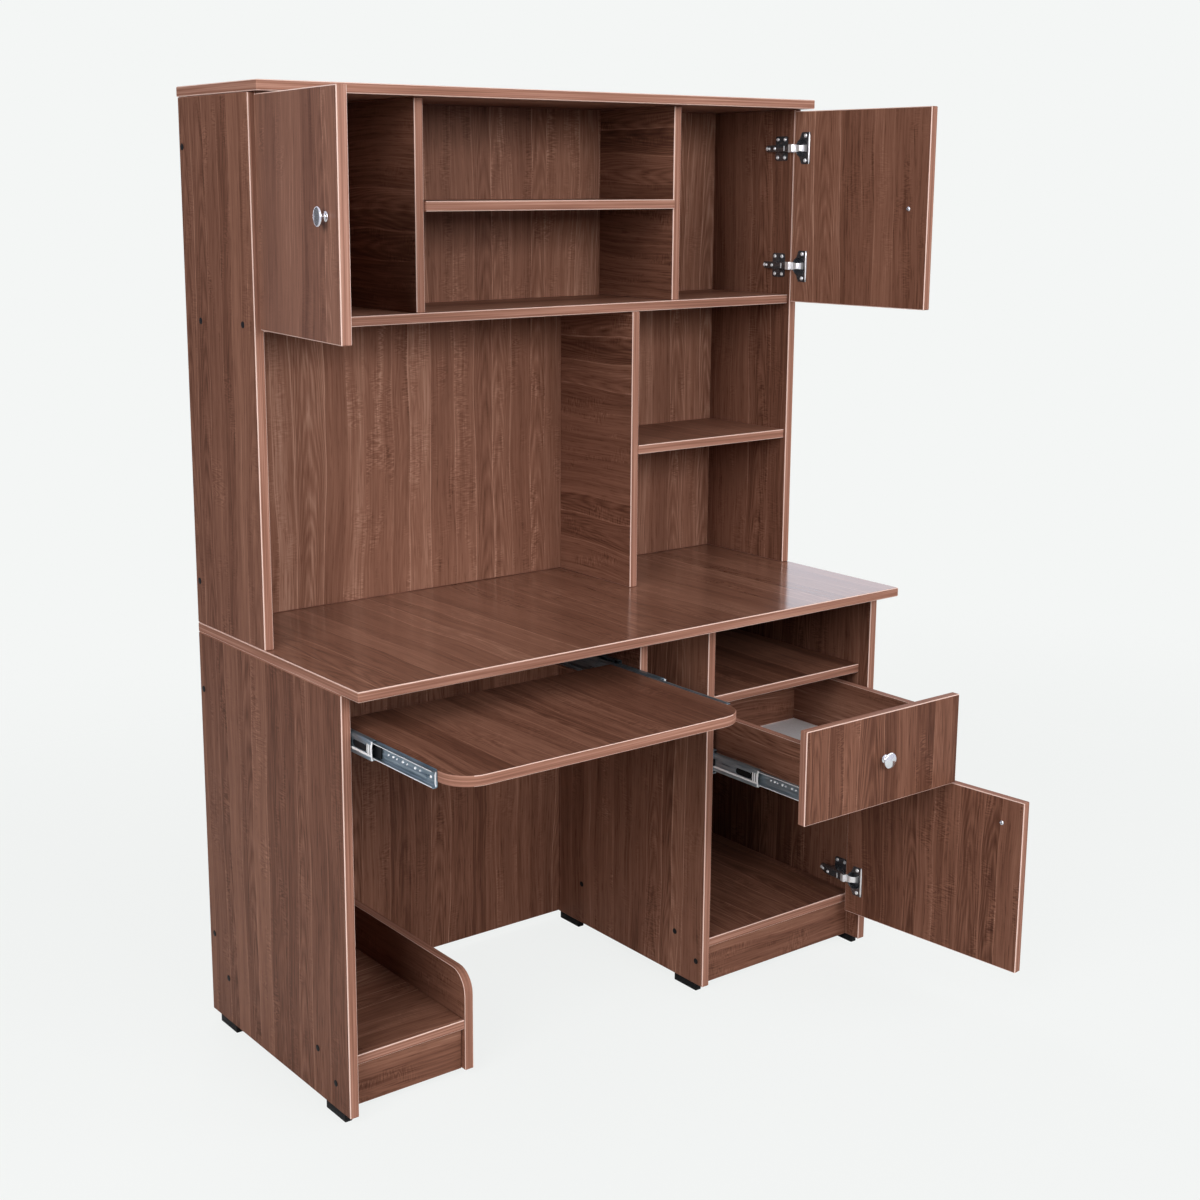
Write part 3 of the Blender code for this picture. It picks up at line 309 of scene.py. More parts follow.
    shader = tree.nodes["Principled BSDF"]
    shader.inputs["Specular IOR Level"].default_value = gloss
    tree.links.new(board.outputs[2], shader.inputs["Base Color"])
    rough = add(tree, "MapRange", {"Value": fine, "To Min": ROUGHNESS - 0.06, "To Max": ROUGHNESS + 0.06})
    rough = add(tree, "Mix", {0: is_face.outputs[0], 2: 0.5, 3: rough.outputs[0]})
    tree.links.new(rough.outputs[0], shader.inputs["Roughness"])
    relief = add(tree, "Bump", {"Height": fine, "Strength": 0.12, "Distance": 0.0004})
    tree.links.new(relief.outputs[0], shader.inputs["Normal"])
    return material


AXES = {"X": Vector((1, 0, 0)), "Y": Vector((0, 1, 0)), "Z": Vector((0, 0, 1))}
prints = {}
for run, boards in BOARD_RUNS.items():
    for node in boards:
        thickness = thickness_of(node)
        tone = BOARD_TONE + SHADE_AND_LIGHT_SHIFTS.get(node, 0.0)
        free = node in FREE_BOARDS
        kind = (run, tuple(round(c, 3) for c in thickness), node.startswith("hutch"), tone, free)
        if kind not in prints:
            joined = AXES["X"] + AXES["Z"]
            bare = None if free else joined - thickness * thickness.dot(joined)
            gloss = DOOR_GLOSS if node == "left_door" else GLOSS
            shift = PRINT_SHIFT * len(prints)
            prints[kind] = walnut("walnut_" + node, thickness, AXES[run], shift, tone, gloss, bare)
        frame["nodes"][node].data.materials.clear()
        frame["nodes"][node].data.materials.append(prints[kind])

# Desktop: the same print with its grain from front to back. A smooth film lies over it on both faces and
# mirrors the backdrop.
DESKTOP_SHIFT, DESKTOP_TONE = 0.17, 0.52
FILM_IOR, FILM_ROUGHNESS = 1.65, 0.15
film = walnut("walnut_desktop", AXES["Z"], AXES["Y"], DESKTOP_SHIFT, DESKTOP_TONE)
frame["nodes"]["desktop"].data.materials.clear()
frame["nodes"]["desktop"].data.materials.append(film)
tree = film.node_tree
shader = tree.nodes["Principled BSDF"]
shader.inputs["Coat IOR"].default_value = FILM_IOR
shader.inputs["Coat Roughness"].default_value = FILM_ROUGHNESS
tree.links.new(tree.nodes["is_face"].outputs[0], shader.inputs["Coat Weight"])


# Drawer bottom: a thin hardboard panel with a white painted face, which lies under the edges of the drawer's
# sides.
WHITE_TONES = ((0.3, "#F0F0F4"), (0.7, "#FBFBFE"))


def plain(name, stops, size, roughness, metallic=0.0, gloss=0.5, stretch=(1, 1, 1)):
    """Makes a material whose tone and gloss vary in blotches of this size, drawn out by stretch."""
    material = bpy.data.materials.new(name)
    material.use_nodes = True
    tree = material.node_tree
    spot = add(tree, "TexCoord")
    scale = [1 / size / k for k in stretch]
    scaled = add(tree, "Mapping", {"Vector": spot.outputs["Object"], "Scale": scale})
    noise = add(tree, "TexNoise", {"Vector": scaled.outputs[0], "Scale": 1.0, "Detail": 4.0}).outputs[0]
    shader = tree.nodes["Principled BSDF"]
    shader.inputs["Metallic"].default_value = metallic
    shader.inputs["Specular IOR Level"].default_value = gloss
    tree.links.new(tones(tree, noise, stops), shader.inputs["Base Color"])
    rough = add(tree, "MapRange", {"Value": noise, "To Min": 0.8 * roughness, "To Max": 1.2 * roughness})
    tree.links.new(rough.outputs[0], shader.inputs["Roughness"])
    grain = add(tree, "Bump", {"Height": noise, "Strength": 0.2 * roughness, "Distance": 0.0003})
    tree.links.new(grain.outputs[0], shader.inputs["Normal"])
    return material


frame["nodes"]["drawer_bottom"].data.materials.clear()
frame["nodes"]["drawer_bottom"].data.materials.append(plain("white_panel", WHITE_TONES, 0.004, 0.45))

# Floor glides: six black plastic blocks under the three standing panels, with rounded soles. Each is a lofted
# sleeve over the plain glide of its panel.
FOOT_CLEARANCE = 0.0004
FOOT_HEIGHT = 0.0137
FOOT_SOLE = -0.0002
FOOT_CORNER = 0.002
FOOT_EDGE = 0.0008
SOLE_HEIGHT = 0.001  # the CAD panels' points below this height belong to their glides
BLACK_TONES = ((0.3, "#0B0C0D"), (0.7, "#151618"))
black_plastic = plain("black_plastic", BLACK_TONES, 0.0012, 0.5, gloss=0.15)


def loft(rings, closed=False):
    """Points and faces of a skin through rings of points, an array of (rings, points, 3). The first and last
    ring get flat faces, or are joined to each other where closed is true."""
    rings = np.asarray(rings, float)
    index = np.arange(rings.shape[0] * rings.shape[1]).reshape(rings.shape[:2])
    low = index if closed else index[:-1]
    high = np.roll(index, -1, 0) if closed else index[1:]
    quads = np.stack([low, np.roll(low, -1, 1), np.roll(high, -1, 1), high], axis=-1).reshape(-1, 4).tolist()
    ends = [] if closed else [index[0][::-1].tolist(), index[-1].tolist()]
    return rings.reshape(-1, 3), quads + ends


def rounded(corners, radius, steps=6):
    """A closed outline, an array of (points, 2), with each corner turned into an arc of up to this radius."""
    corners = np.asarray(corners, float)
    before, after = np.roll(corners, 1, 0) - corners, np.roll(corners, -1, 0) - corners
    points = []
    for corner, back, on in zip(corners, before, after):
        reach = min(radius, 0.45 * np.hypot(*back), 0.45 * np.hypot(*on))
        start, end = corner + reach * back / np.hypot(*back), corner + reach * on / np.hypot(*on)
        t = np.linspace(0, 1, steps)[:, None]
        points.append((1 - t) ** 2 * start + 2 * t * (1 - t) * corner + t ** 2 * end)
    return np.concatenate(points)


def oblong(low, high, radius, steps=6):
    """A closed outline between two opposite corners, with each corner rounded."""
    return rounded([low, (high[0], low[1]), high, (low[0], high[1])], radius, steps)


def inset(outline, by):
    """The outline moved inwards by a distance, along the normal at each point."""
    along = np.roll(outline, -1, 0) - np.roll(outline, 1, 0)
    along /= np.maximum(np.hypot(along[:, 0], along[:, 1]), 1e-12)[:, None]
    ring = np.roll(outline, -1, 0)
    turn = np.sign(np.sum(outline[:, 0] * ring[:, 1] - outline[:, 1] * ring[:, 0]))
    return outline + turn * by * np.stack([-along[:, 1], along[:, 0]], axis=1)


def plate(outline, low, high, bevel):
    """Rings of a plate of this outline between two heights, with its edges rounded by bevel."""
    steps = ((bevel, low), (0.3 * bevel, low + 0.3 * bevel), (0, low + bevel),
             (0, high - bevel), (0.3 * bevel, high - 0.3 * bevel), (bevel, high))
    return np.stack([np.column_stack([inset(outline, by), np.full(len(outline), h)]) for by, h in steps])


def piece(name, parts, material, body, origin=(0, 0, 0), axes=np.eye(3), sharp=35):
    """Makes one object of parts, each of points and faces, which origin and the rows of axes place."""
    points, faces, start = [], [], 0
    for local, polygons in parts:
        points.append(local @ np.asarray(axes, float) + np.asarray(origin, float))
        faces += [[start + i for i in polygon] for polygon in polygons]
        start += len(local)
    mesh = bpy.data.meshes.new(name)
    mesh.from_pydata(np.concatenate(points).tolist(), [], faces)
    shell = bmesh.new()
    shell.from_mesh(mesh)
    bmesh.ops.recalc_face_normals(shell, faces=shell.faces)
    shell.to_mesh(mesh)
    shell.free()
    mesh.shade_smooth()
    mesh.set_sharp_from_angle(angle=math.radians(sharp))
    mesh.materials.append(material)
    made = bpy.data.objects.new(name, mesh)
    bpy.context.scene.collection.objects.link(made)
    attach(made, body)
    return made


for panel in ("base_left_side", "base_right_side", "pedestal_left_side"):
    sole = np.array([v.co for v in frame["nodes"][panel].data.vertices])
    sole = sole[sole[:, 2] < SOLE_HEIGHT]
    middle = (sole[:, 1].min() + sole[:, 1].max()) / 2
    for end, spots in (("front", sole[sole[:, 1] < middle]), ("rear", sole[sole[:, 1] > middle])):
        low, high = spots.min(0)[:2] - FOOT_CLEARANCE, spots.max(0)[:2] + FOOT_CLEARANCE
        block = plate(oblong(low, high, FOOT_CORNER), FOOT_SOLE, FOOT_HEIGHT, FOOT_EDGE)
        piece(f"{panel}_{end}_glide", [loft(block)], black_plastic, "carcass")

# Drawer sides: 15 mm boards that end just above the bottom. Each is a plate with eased edges, the CAD side
# without the strip that reaches below the bottom.
SIDE_EASE = 0.0008
SIDE_CORNER = 0.001
SIDE_GAP = 0.0003
floor_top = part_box("drawer_bottom")[1].z + SIDE_GAP
for node in ("drawer_left_side", "drawer_right_side"):
    low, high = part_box(node)
    outline = oblong((low.y, floor_top), (high.y, high.z), SIDE_CORNER)
    side_board = piece(node + "_board", [loft(plate(outline, low.x, high.x, SIDE_EASE))],
                       frame["nodes"][node].data.materials[0], "drawer",
                       axes=((0, 1, 0), (0, 0, 1), (1, 0, 0)), sharp=20)
    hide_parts(node)

# Cover caps: black plastic caps pressed into the heads of the screws that hold shelves, plinths and backs
# between the panels. Each is a low dome turned about its screw.
CAP_RADIUS = 0.0056
CAP_LIFT = 0.00003
CAP_PROFILE = (  # share of the radius, and height
    (0.0, 0.0), (0.93, 0.0), (1.0, 0.0004), (0.97, 0.0007), (0.8, 0.00095), (0.4, 0.0011), (0.0, 0.00115),
)
CAP_SPOTS = {  # panel: (outer side, depths and heights in mm from the panel's front and the floor)
    "hutch_left_side": (-1, ((239, 1569), (193, 1283), (40, 1286), (236, 827))),
    "hutch_right_side": (1, ((239, 1569), (193, 1285), (40, 1285), (193, 1015), (40, 1015), (236, 827))),
    "base_left_side": (-1, ((484, 630), (479, 168), (428, 99.5), (103, 98.5), (45, 60))),
    "base_right_side": (1, ((484, 630), (479, 168), (395, 99), (103, 100), (41, 61), (395, 592), (103, 592))),
    "pedestal_left_side": (-1, ((373, 99), (81, 100), (19, 61))),
}


def turned(profile, steps=32):
    """Rings of a solid turned about the third axis. The profile's points are radius and height."""
    turns = np.linspace(0, 2 * math.pi, steps, endpoint=False)
    radius, height = np.asarray(profile, float).T
    radius = np.maximum(radius, 1e-5)[:, None]
    height = np.repeat(height[:, None], steps, 1)
    return np.stack([radius * np.cos(turns), radius * np.sin(turns), height], axis=-1)


cap = loft(turned(np.array(CAP_PROFILE) * (CAP_RADIUS, 1)))
for panel, (way, spots) in CAP_SPOTS.items():
    low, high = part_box(panel)
    face = (high if way > 0 else low).x + way * CAP_LIFT
    axes = np.array(((0, 1, 0), (0, 0, way), (way, 0, 0)))
    caps = [(cap[0] @ axes + (face, low.y + depth / 1000, height / 1000), cap[1]) for depth, height in spots]
    piece(panel + "_caps", caps, black_plastic, "carcass")

# Concealed hinges: a pressed nickel cup with a bow-shaped flange is screwed into each door, and an arm sits
# on a wing plate that is screwed to the cabinet's side. A strap over the arm's nose and a curved link on the
# door join the two. The nickel is dark as painted shade, and the strap, link, fold and screws are white as
# painted highlights.
# The dark nickel tones stand in for shade, and the white tones are painted highlights on the same plating.
NICKEL_TONES = ((0.3, "#595B60"), (0.7, "#808287"))
HIGHLIGHT_TONES = ((0.3, "#EDEDF0"), (0.7, "#FFFFFF"))
CUP_CENTRE = 0.01275
CUP_PROFILE = (  # radius and depth from the hinge axis: out along the bottom, over the rim and back inside
    (0.0, 0.00075), (0.0158, 0.00075), (0.0168, 0.0011), (0.0172, 0.002), (0.0172, 0.0136), (0.01705, 0.0141),
    (0.0167, 0.0143), (0.0163, 0.0141), (0.0161, 0.0136), (0.0161, 0.003), (0.0156, 0.0021), (0.0, 0.0019),
)
FLANGE_LOW, FLANGE_HIGH = 0.01255, 0.01385
FLANGE_INNER = 0.0173
FLANGE_LIP = 0.0185
FLANGE_HALF = 0.0302
EAR_WIDTH = 0.0205
EAR_SCREW = (0.0072, 0.0235)
EAR_SCREW_RADIUS = 0.0038
FOLD = (0.002, 0.0015, 0.0002)  # radii across and off the flange, and how deep it sits
LINK_RADIUS, LINK_THICK = 0.0149, 0.0014
LINK_TURN = (math.radians(12), math.radians(115))
LINK_HALF = (0.0068, 0.0054, 0.0078)
SCREW_PROFILE = ((0.0, -0.0004), (1.0, -0.0004), (1.0, 0.0005), (0.94, 0.001), (0.75, 0.0016), (0.45, 0.0019),
                 (0.36, 0.0018), (0.3, 0.0009), (0.0, 0.0008))
ARM_HALF = 0.0065
ARM_HEIGHT = 0.0115
TAIL_HEIGHT = 0.006
ARM_LENGTH, ARM_SHOWN = 0.085, 0.068
ARM_BEND = 0.0085
ARM_SCREWS = ((0.0036, 0.0045), (0.0026, 0.0125), (0.003, 0.03))  # radius, and distance from the arm's tail
ARM_SLOT = (0.0012, 0.0052, 0.0125)  # half of its width and length, and distance from the arm's front
FOOT_BACK, FOOT_LENGTH = 0.018, 0.026
NOSE_INNER, NOSE_OUTER = 0.01605, 0.02175
NOSE_TURN = (math.radians(20), math.radians(60))
WING = (0.034, 0.047, 0.0022)
WING_SCREW = (0.0098, 0.0172)
WING_SCREW_RADIUS = 0.0036
STRAP_HALF, STRAP_THICK = (0.0074, 0.0072), 0.0008
nickel = plain("hinge_nickel", NICKEL_TONES, 0.003, 0.2, metallic=0.75)
hinge_highlight = plain("hinge_painted_highlight", HIGHLIGHT_TONES, 0.003, 0.16, metallic=0.5)
turning = {joint["child"]: joint for joint in frame["joints"] if joint["type"] == "hinge"}


def hinge_frame(door, height, opened):
    """Origin on a door's hinge axis, and axes as rows: to the door's free edge, up, and into the cabinet.
    They turn with the door where opened is true, and stay with the cabinet otherwise."""
    joint = turning[door]
    side = -joint["axis"][2]
    turn = math.radians(-joint["range_deg"][0]) if opened else 0.0
    axes = ((side * math.cos(turn), -math.sin(turn), 0), (0, 0, 1),
            (side * math.sin(turn), math.cos(turn), 0))
    return (joint["pos_m"][0], joint["pos_m"][1], height), np.array(axes)


def screw_head(radius, at, axes=np.eye(3)):
    """A pan screw head with a dished drive. Its seat is at a local point, its axis the third row of axes."""
    head, faces = loft(turned(np.array(SCREW_PROFILE) * (radius, 1), 20))
    return head @ np.asarray(axes, float) + at, faces


def strap(path, half, thick):
    """Rings of a strap along a path of (first, third axis) points, with half of its width at each point."""
    along = np.gradient(path, axis=0)
    along /= np.hypot(along[:, 0], along[:, 1])[:, None]
    off = thick / 2 * np.stack([-along[:, 1], along[:, 0]], axis=1)
    through, across = oblong((-1, -1), (1, 1), 0.3, 3).T
    return np.stack([np.column_stack([p[0] + o[0] * through, h * across, p[1] + o[1] * through])
                     for p, o, h in zip(path, off, half)])


def flange_reach(turn):
    """Distance from the cup's middle to the flange's edge: a straight far edge, two ears, and hollow flanks
    that fall from the ears to the round lip."""
    turn = np.abs((turn + math.pi) % (2 * math.pi) - math.pi)
    far = FLANGE_LIP / np.maximum(np.cos(turn), 1e-6)
    top = FLANGE_HALF / np.maximum(np.sin(turn), 1e-6)
    ear_turn = math.atan2(FLANGE_HALF, FLANGE_LIP - EAR_WIDTH)
    ear = math.hypot(FLANGE_HALF, FLANGE_LIP - EAR_WIDTH)
    flank = np.clip((turn - ear_turn) / math.radians(32), 0, 1)
    fallen = FLANGE_LIP + (ear - FLANGE_LIP) * (1 - flank) ** 2.6
    return np.where(turn < ear_turn, np.minimum(np.where(turn < 1.5, far, 1), top), fallen)


def hinge_cup_parts():
    """The cup and its flange, in the door's hinge frame."""
    cup, cup_faces = loft(turned(CUP_PROFILE, 48))
    parts = [(cup + (CUP_CENTRE, 0, 0), cup_faces)]

    turns = np.linspace(0, 2 * math.pi, 144, endpoint=False)
    way = np.stack([np.cos(turns), np.sin(turns)], axis=1)
    reach = flange_reach(turns)[:, None]
    section = ((0.0, 0.0, FLANGE_LOW), (0.0, 0.0, FLANGE_HIGH - 0.0004), (0.0, 0.0004, FLANGE_HIGH),
               (1.0, 0.0, FLANGE_HIGH), (1.0, 0.0, FLANGE_LOW))
    rings = []
    for share, less, height in section:
        radius = (1 - share) * reach + share * FLANGE_INNER - less
        rings.append(np.column_stack([way * radius, np.full(len(turns), height)]))
    parts.append(loft(np.stack(rings) + (CUP_CENTRE, 0, 0), closed=True))
    return parts


def hinge_link_parts():
    """The parts on the cup that are white as painted highlights, in the door's hinge frame: the flange's
    folded far edge, a bar that thins out at its ends, two ear screws, and the link, a strip of varying width
    along an arc."""
    parts = []
    ups = np.concatenate([[-1.0, -0.995], np.linspace(-0.98, 0.98, 9), [0.995, 1.0]])
    size = np.sqrt(np.clip(1.02 - ups ** 8, 0.02, 1))
    turns = np.linspace(0, 2 * math.pi, 14, endpoint=False)
    fold = np.stack([np.stack([CUP_CENTRE + FLANGE_LIP - FOLD[0] + FOLD[0] * k * np.cos(turns),
                               np.full(len(turns), FLANGE_HALF * up),
                               FLANGE_HIGH - FOLD[2] + FOLD[1] * k * np.sin(turns)], axis=-1)
                     for up, k in zip(ups, size)])
    parts.append(loft(fold))

    for way in (-1, 1):
        at = (CUP_CENTRE + EAR_SCREW[0], way * EAR_SCREW[1], FLANGE_HIGH)
        parts.append(screw_head(EAR_SCREW_RADIUS, at))

    turns = np.linspace(*LINK_TURN, 24)
    half = np.interp(turns, np.linspace(*LINK_TURN, 3), LINK_HALF)
    arc = LINK_RADIUS * np.stack([np.cos(turns), np.sin(turns)], axis=1)
    parts.append(loft(strap(arc, half, LINK_THICK)))
    return parts


def hinge_arm_parts(foot, low, front):
    """The arm with its wing plate, and the parts on them that are white as painted highlights, in the
    cabinet's
    hinge frame: foot is the cabinet's face, low the arm's underside and front where the arm begins behind the
    panel's edge."""
    tail, start = front + ARM_SHOWN, front + FOOT_BACK
    elbow, heel = front + ARM_BEND, start + FOOT_LENGTH
    turns = np.linspace(*NOSE_TURN, 9)
    nose = np.stack([NOSE_INNER * np.cos(turns), NOSE_INNER * np.sin(turns)], axis=1)
    tip = NOSE_OUTER * np.array((math.cos(NOSE_TURN[0]), math.sin(NOSE_TURN[0])))
    top = max(low + ARM_HEIGHT, tip[0] - 0.0014)
    outline = nose.tolist() + [
        (low, elbow), (low, start), (foot, start), (foot, heel), (low, heel), (low, tail),
        (low + TAIL_HEIGHT, tail), (top, heel), (top, elbow), tip,
    ]
    side_on = np.array(((1, 0, 0), (0, 0, 1), (0, -1, 0)))
    arm, arm_faces = loft(plate(rounded(outline, 0.0016, 4), -ARM_HALF, ARM_HALF, 0.0011))
    parts = [(arm @ side_on, arm_faces)]

    across = np.array(((0, 0, 1), (0, 1, 0), (1, 0, 0)))
    middle = start + FOOT_LENGTH / 2
    width, height, thick = WING
    outline = oblong((-width / 2, -height / 2), (width / 2, height / 2), 0.006)
    wing, wing_faces = loft(plate(outline, foot, foot + thick, 0.0005))
    parts.append((wing @ across + (0, 0, middle), wing_faces))

    # White parts, as painted highlights: the wing's screws, three screws and a slot rim along the arm, and
    # the strap over the nose.
    highlight_parts = []
    for along, up in ((-1, -1), (-1, 1), (1, -1), (1, 1)):
        at = (foot + thick, up * WING_SCREW[1], middle + along * WING_SCREW[0])
        highlight_parts.append(screw_head(WING_SCREW_RADIUS, at, across))
    for radius, ahead in ARM_SCREWS:
        height = np.interp(tail - ahead, (heel, tail), (top, low + TAIL_HEIGHT))
        highlight_parts.append(screw_head(radius, (height, 0, tail - ahead), across))
    rim = oblong((-ARM_SLOT[0], -ARM_SLOT[1]), ARM_SLOT[:2], 0.0011)
    rim, rim_faces = loft(plate(rim, top - 0.0002, top + 0.0008, 0.0004))
    highlight_parts.append((rim @ across + (0, 0, front + ARM_SLOT[2]), rim_faces))
    corner, end = np.array((top, elbow)), 1.015 * nose[0]
    back, bend = tip + 0.55 * (corner - tip), tip + 0.25 * (corner - tip)
    knee = 2 * tip - (bend + end) / 2
    t = np.linspace(0, 1, 12)[:, None]
    over = np.concatenate([back[None], (1 - t) ** 2 * bend + 2 * t * (1 - t) * knee + t ** 2 * end])
    highlight_parts.append(loft(strap(over, np.linspace(*STRAP_HALF, len(over)), STRAP_THICK)))
    return parts, highlight_parts


for door in turning:
    for level in ("upper", "lower"):
        cup_node, arm_node = f"{door}_{level}_hinge_cup", f"{door}_{level}_hinge_arm"
        height = sum(c.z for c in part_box(arm_node)) / 2
        origin, axes = hinge_frame(door, height, True)
        cup = piece(f"{door}_{level}_cup", hinge_cup_parts(), nickel, door, origin, axes)
        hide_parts(cup_node)
        piece(f"{door}_{level}_link", hinge_link_parts(), hinge_highlight, door, origin, axes)
        origin, axes = hinge_frame(door, height, False)
        solid = (np.array([v.co for v in frame["nodes"][arm_node].data.vertices]) - origin) @ axes.T
        foot, tail = solid[:, 0].min(), solid[:, 2].max()
        low = solid[solid[:, 2] > tail - 0.001, 0].min()
        arm_parts, highlight_parts = hinge_arm_parts(foot, low, tail - ARM_LENGTH)
        arm = piece(f"{door}_{level}_arm", arm_parts, nickel, "carcass", origin, axes)
        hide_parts(arm_node)
        piece(f"{door}_{level}_arm_screws", highlight_parts, hinge_highlight, "carcass", origin, axes)

# Knobs: solid chrome-plated mushrooms on a round foot, each held by a screw through the door or drawer front.
# They are turned, with a nearly flat face, a round rim and a waisted neck.
CHROME_TONES = ((0.3, "#D3D6DB"), (0.7, "#E4E6EA"))
KNOB_PROFILE = np.array((  # radius and height in mm
    (0, 0), (7.4, 0), (7.8, 0.4), (7.8, 1.6), (7.2, 2.4), (5.6, 3.2), (4.7, 4.4), (4.5, 6.0), (4.9, 7.6),
    (6.4, 9.2), (9.4, 10.6), (12.4, 11.8), (14.0, 12.6), (14.7, 13.3), (14.9, 14.1), (14.7, 14.9),
    (14.1, 15.5), (13.2, 15.9), (10.6, 16.3), (7.6, 16.7), (4.4, 17.1), (2.2, 17.3), (0, 17.4),
)) / 1000
KNOB_SCREW_RADIUS = 0.0045
KNOB_SCREW_LIFT = 0.0008
BOARD = 0.017
chrome = plain("knob_chrome", CHROME_TONES, 0.012, 0.12, metallic=0.9)


def centre_of(node):
    """The middle of a CAD node's points, which for a turned node is on its axis."""
    return np.array([v.co for v in frame["nodes"][node].data.vertices]).mean(0)


for node, leaf, body in (("left_door_knob", "left_door", "left_door"),
                         ("right_door_knob", "right_door", "right_door"),
                         ("lower_door_knob", "lower_door", "lower_door"),
                         ("drawer_knob", "drawer_front", "drawer")):
    outward = np.array(thickness_of(leaf))
    outward *= np.sign((centre_of(node) - centre_of(leaf)) @ outward)
    across = np.cross((0, 0, 1), outward)
    axes = np.array((across, np.cross(outward, across), outward))
    solid = np.array([v.co for v in frame["nodes"][node].data.vertices])
    seat = centre_of(node)
    seat += outward * ((solid @ outward).min() - seat @ outward)
    knob = piece(node + "_turned", [loft(turned(KNOB_PROFILE, 56))], chrome, body, seat, axes)
    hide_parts(node)
    head = screw_head(KNOB_SCREW_RADIUS, (0, 0, 0))
    piece(node + "_screw", [head], chrome, body, seat - outward * (BOARD + KNOB_SCREW_LIFT),
          axes * ((1,), (-1,), (-1,)))

# Slides: three nested channels of zinc-plated steel on each side of the drawer and of the tray, bluish on the
# tray and paler on the drawer, which is partly the plating and partly painted light on a slide that sits in
# shade.
# The channels keep their CAD form, and the fittings on them are made here.
ZINC_TONES = {"drawer": ((0.3, "#76838C"), (0.7, "#A3AFB7")), "tray": ((0.3, "#677884"), (0.7, "#93A2AC"))}
ZINC_METALLIC = {"drawer": 0.6, "tray": 0.75}
FACE_GAP = 0.0003
HOOK = (0.0019, 0.0031)  # from and to, off the slide's face
HOOK_HALF = 0.0152
HOOK_RIBS = (  # start, width and bow
    (-0.0038, 0.0052, 0.0022), (0.0034, 0.0042, 0.0018), (0.0094, 0.0026, 0.0014),
)
RACE = np.array(((3.05, 7.2), (2.7, 7.5), (2.1, 8.3), (1.85, 9.6), (1.8, 12.6), (1.9, 14.8), (2.2, 16.0),
                 (2.7, 16.6), (3.05, 16.6))) / 1000
# Painted highlight: a white strip along the lower race, which faces up into the light.
RACE_HIGHLIGHT = np.array(((3.05, -6.7), (3.05, -10.4), (2.0, -10.5), (1.7, -9.9), (1.7, -7.5), (2.2, -6.8))) / 1000
CAGE = (0.0046, 0.0054, 0.0085, 0.062)  # from and to off the face, half of its height, and its end
SHADE_BANDS = ((0.0011, 0.0026), (0.0073, 0.0024), (0.0117, 0.0034))  # painted shade between and beside the hook's ribs: start and width
INNER_WEB = 0.0115
BEAD = np.array(((11.7, 1.5), (10.9, 0.2), (10.6, -1.2), (10.6, -6.6), (10.9, -8.2), (11.7, -9.4))) / 1000
SCREW_INSET = 0.016
SCREW_RADIUS = 0.0026
WASHER = (0.0074, 0.0031)  # half of its length and height
RIVETS = (  # share of the way from the middle channel's front to the inner one's, height, radius
    (0.22, 0.0022, 0.0018), (0.3, 0.0026, 0.0022), (0.36, 0.002, 0.0015), (0.46, 0.0022, 0.0024),
    (0.53, 0.0016, 0.0015), (0.66, 0.002, 0.0022), (0.74, 0.0018, 0.0016),
)
BRACKET = ((0.0096, 0.0022), (0.0124, 0.0034))
FLANGE = np.array(((11.55, 12.6), (12.6, 12.6), (12.6, 15.3), (12.2, 15.6), (11.7, 15.4))) / 1000
ROLL = np.array(((4.75, 12.2), (4.95, 11.6), (5.6, 11.4), (6.0, 11.7), (6.0, 12.9), (5.2, 12.95),
                 (4.85, 12.7))) / 1000
LEVER = (0.0088, 0.0112)
LEVER_PLACES = (-0.019, -0.017, -0.012, 0.001, 0.002)
LEVER_HALVES = (0.0085, 0.01, 0.011, 0.0114, 0.011)
CATCH = (0.00035, 0.00165, 0.0065)  # from and to off the face, and half of its height
CATCH_PLACES = (-0.0042, -0.0034, -0.0005)
BUMPER = (0.0018, 0.0085, 0.0172, 0.0208)  # from and to off the face, and from and to in height
# The white parts on the slides are painted highlights on the zinc.
slide_highlight = plain("slide_painted_highlight", HIGHLIGHT_TONES, 0.003, 0.2, metallic=0.15)


def across_slide(section, ups, half, bow):
    """Rings of a rib across a channel: a section of (off the face, along Y) points that rises from -half to
    half, moved along Y by the bow at each height."""
    return np.stack([np.column_stack([section[:, 0], np.full(len(section), half * up), section[:, 1] + b])
                     for up, b in zip(ups, bow)])


def along_slide(section, places, sizes):
    """Rings of a bar along a channel: a section of (off the face, up) points, scaled upwards by the size at
    each place along Y."""
    return np.stack([np.column_stack([section[:, 0], section[:, 1] * size, np.full(len(section), y)])
                     for y, size in zip(places, sizes)])


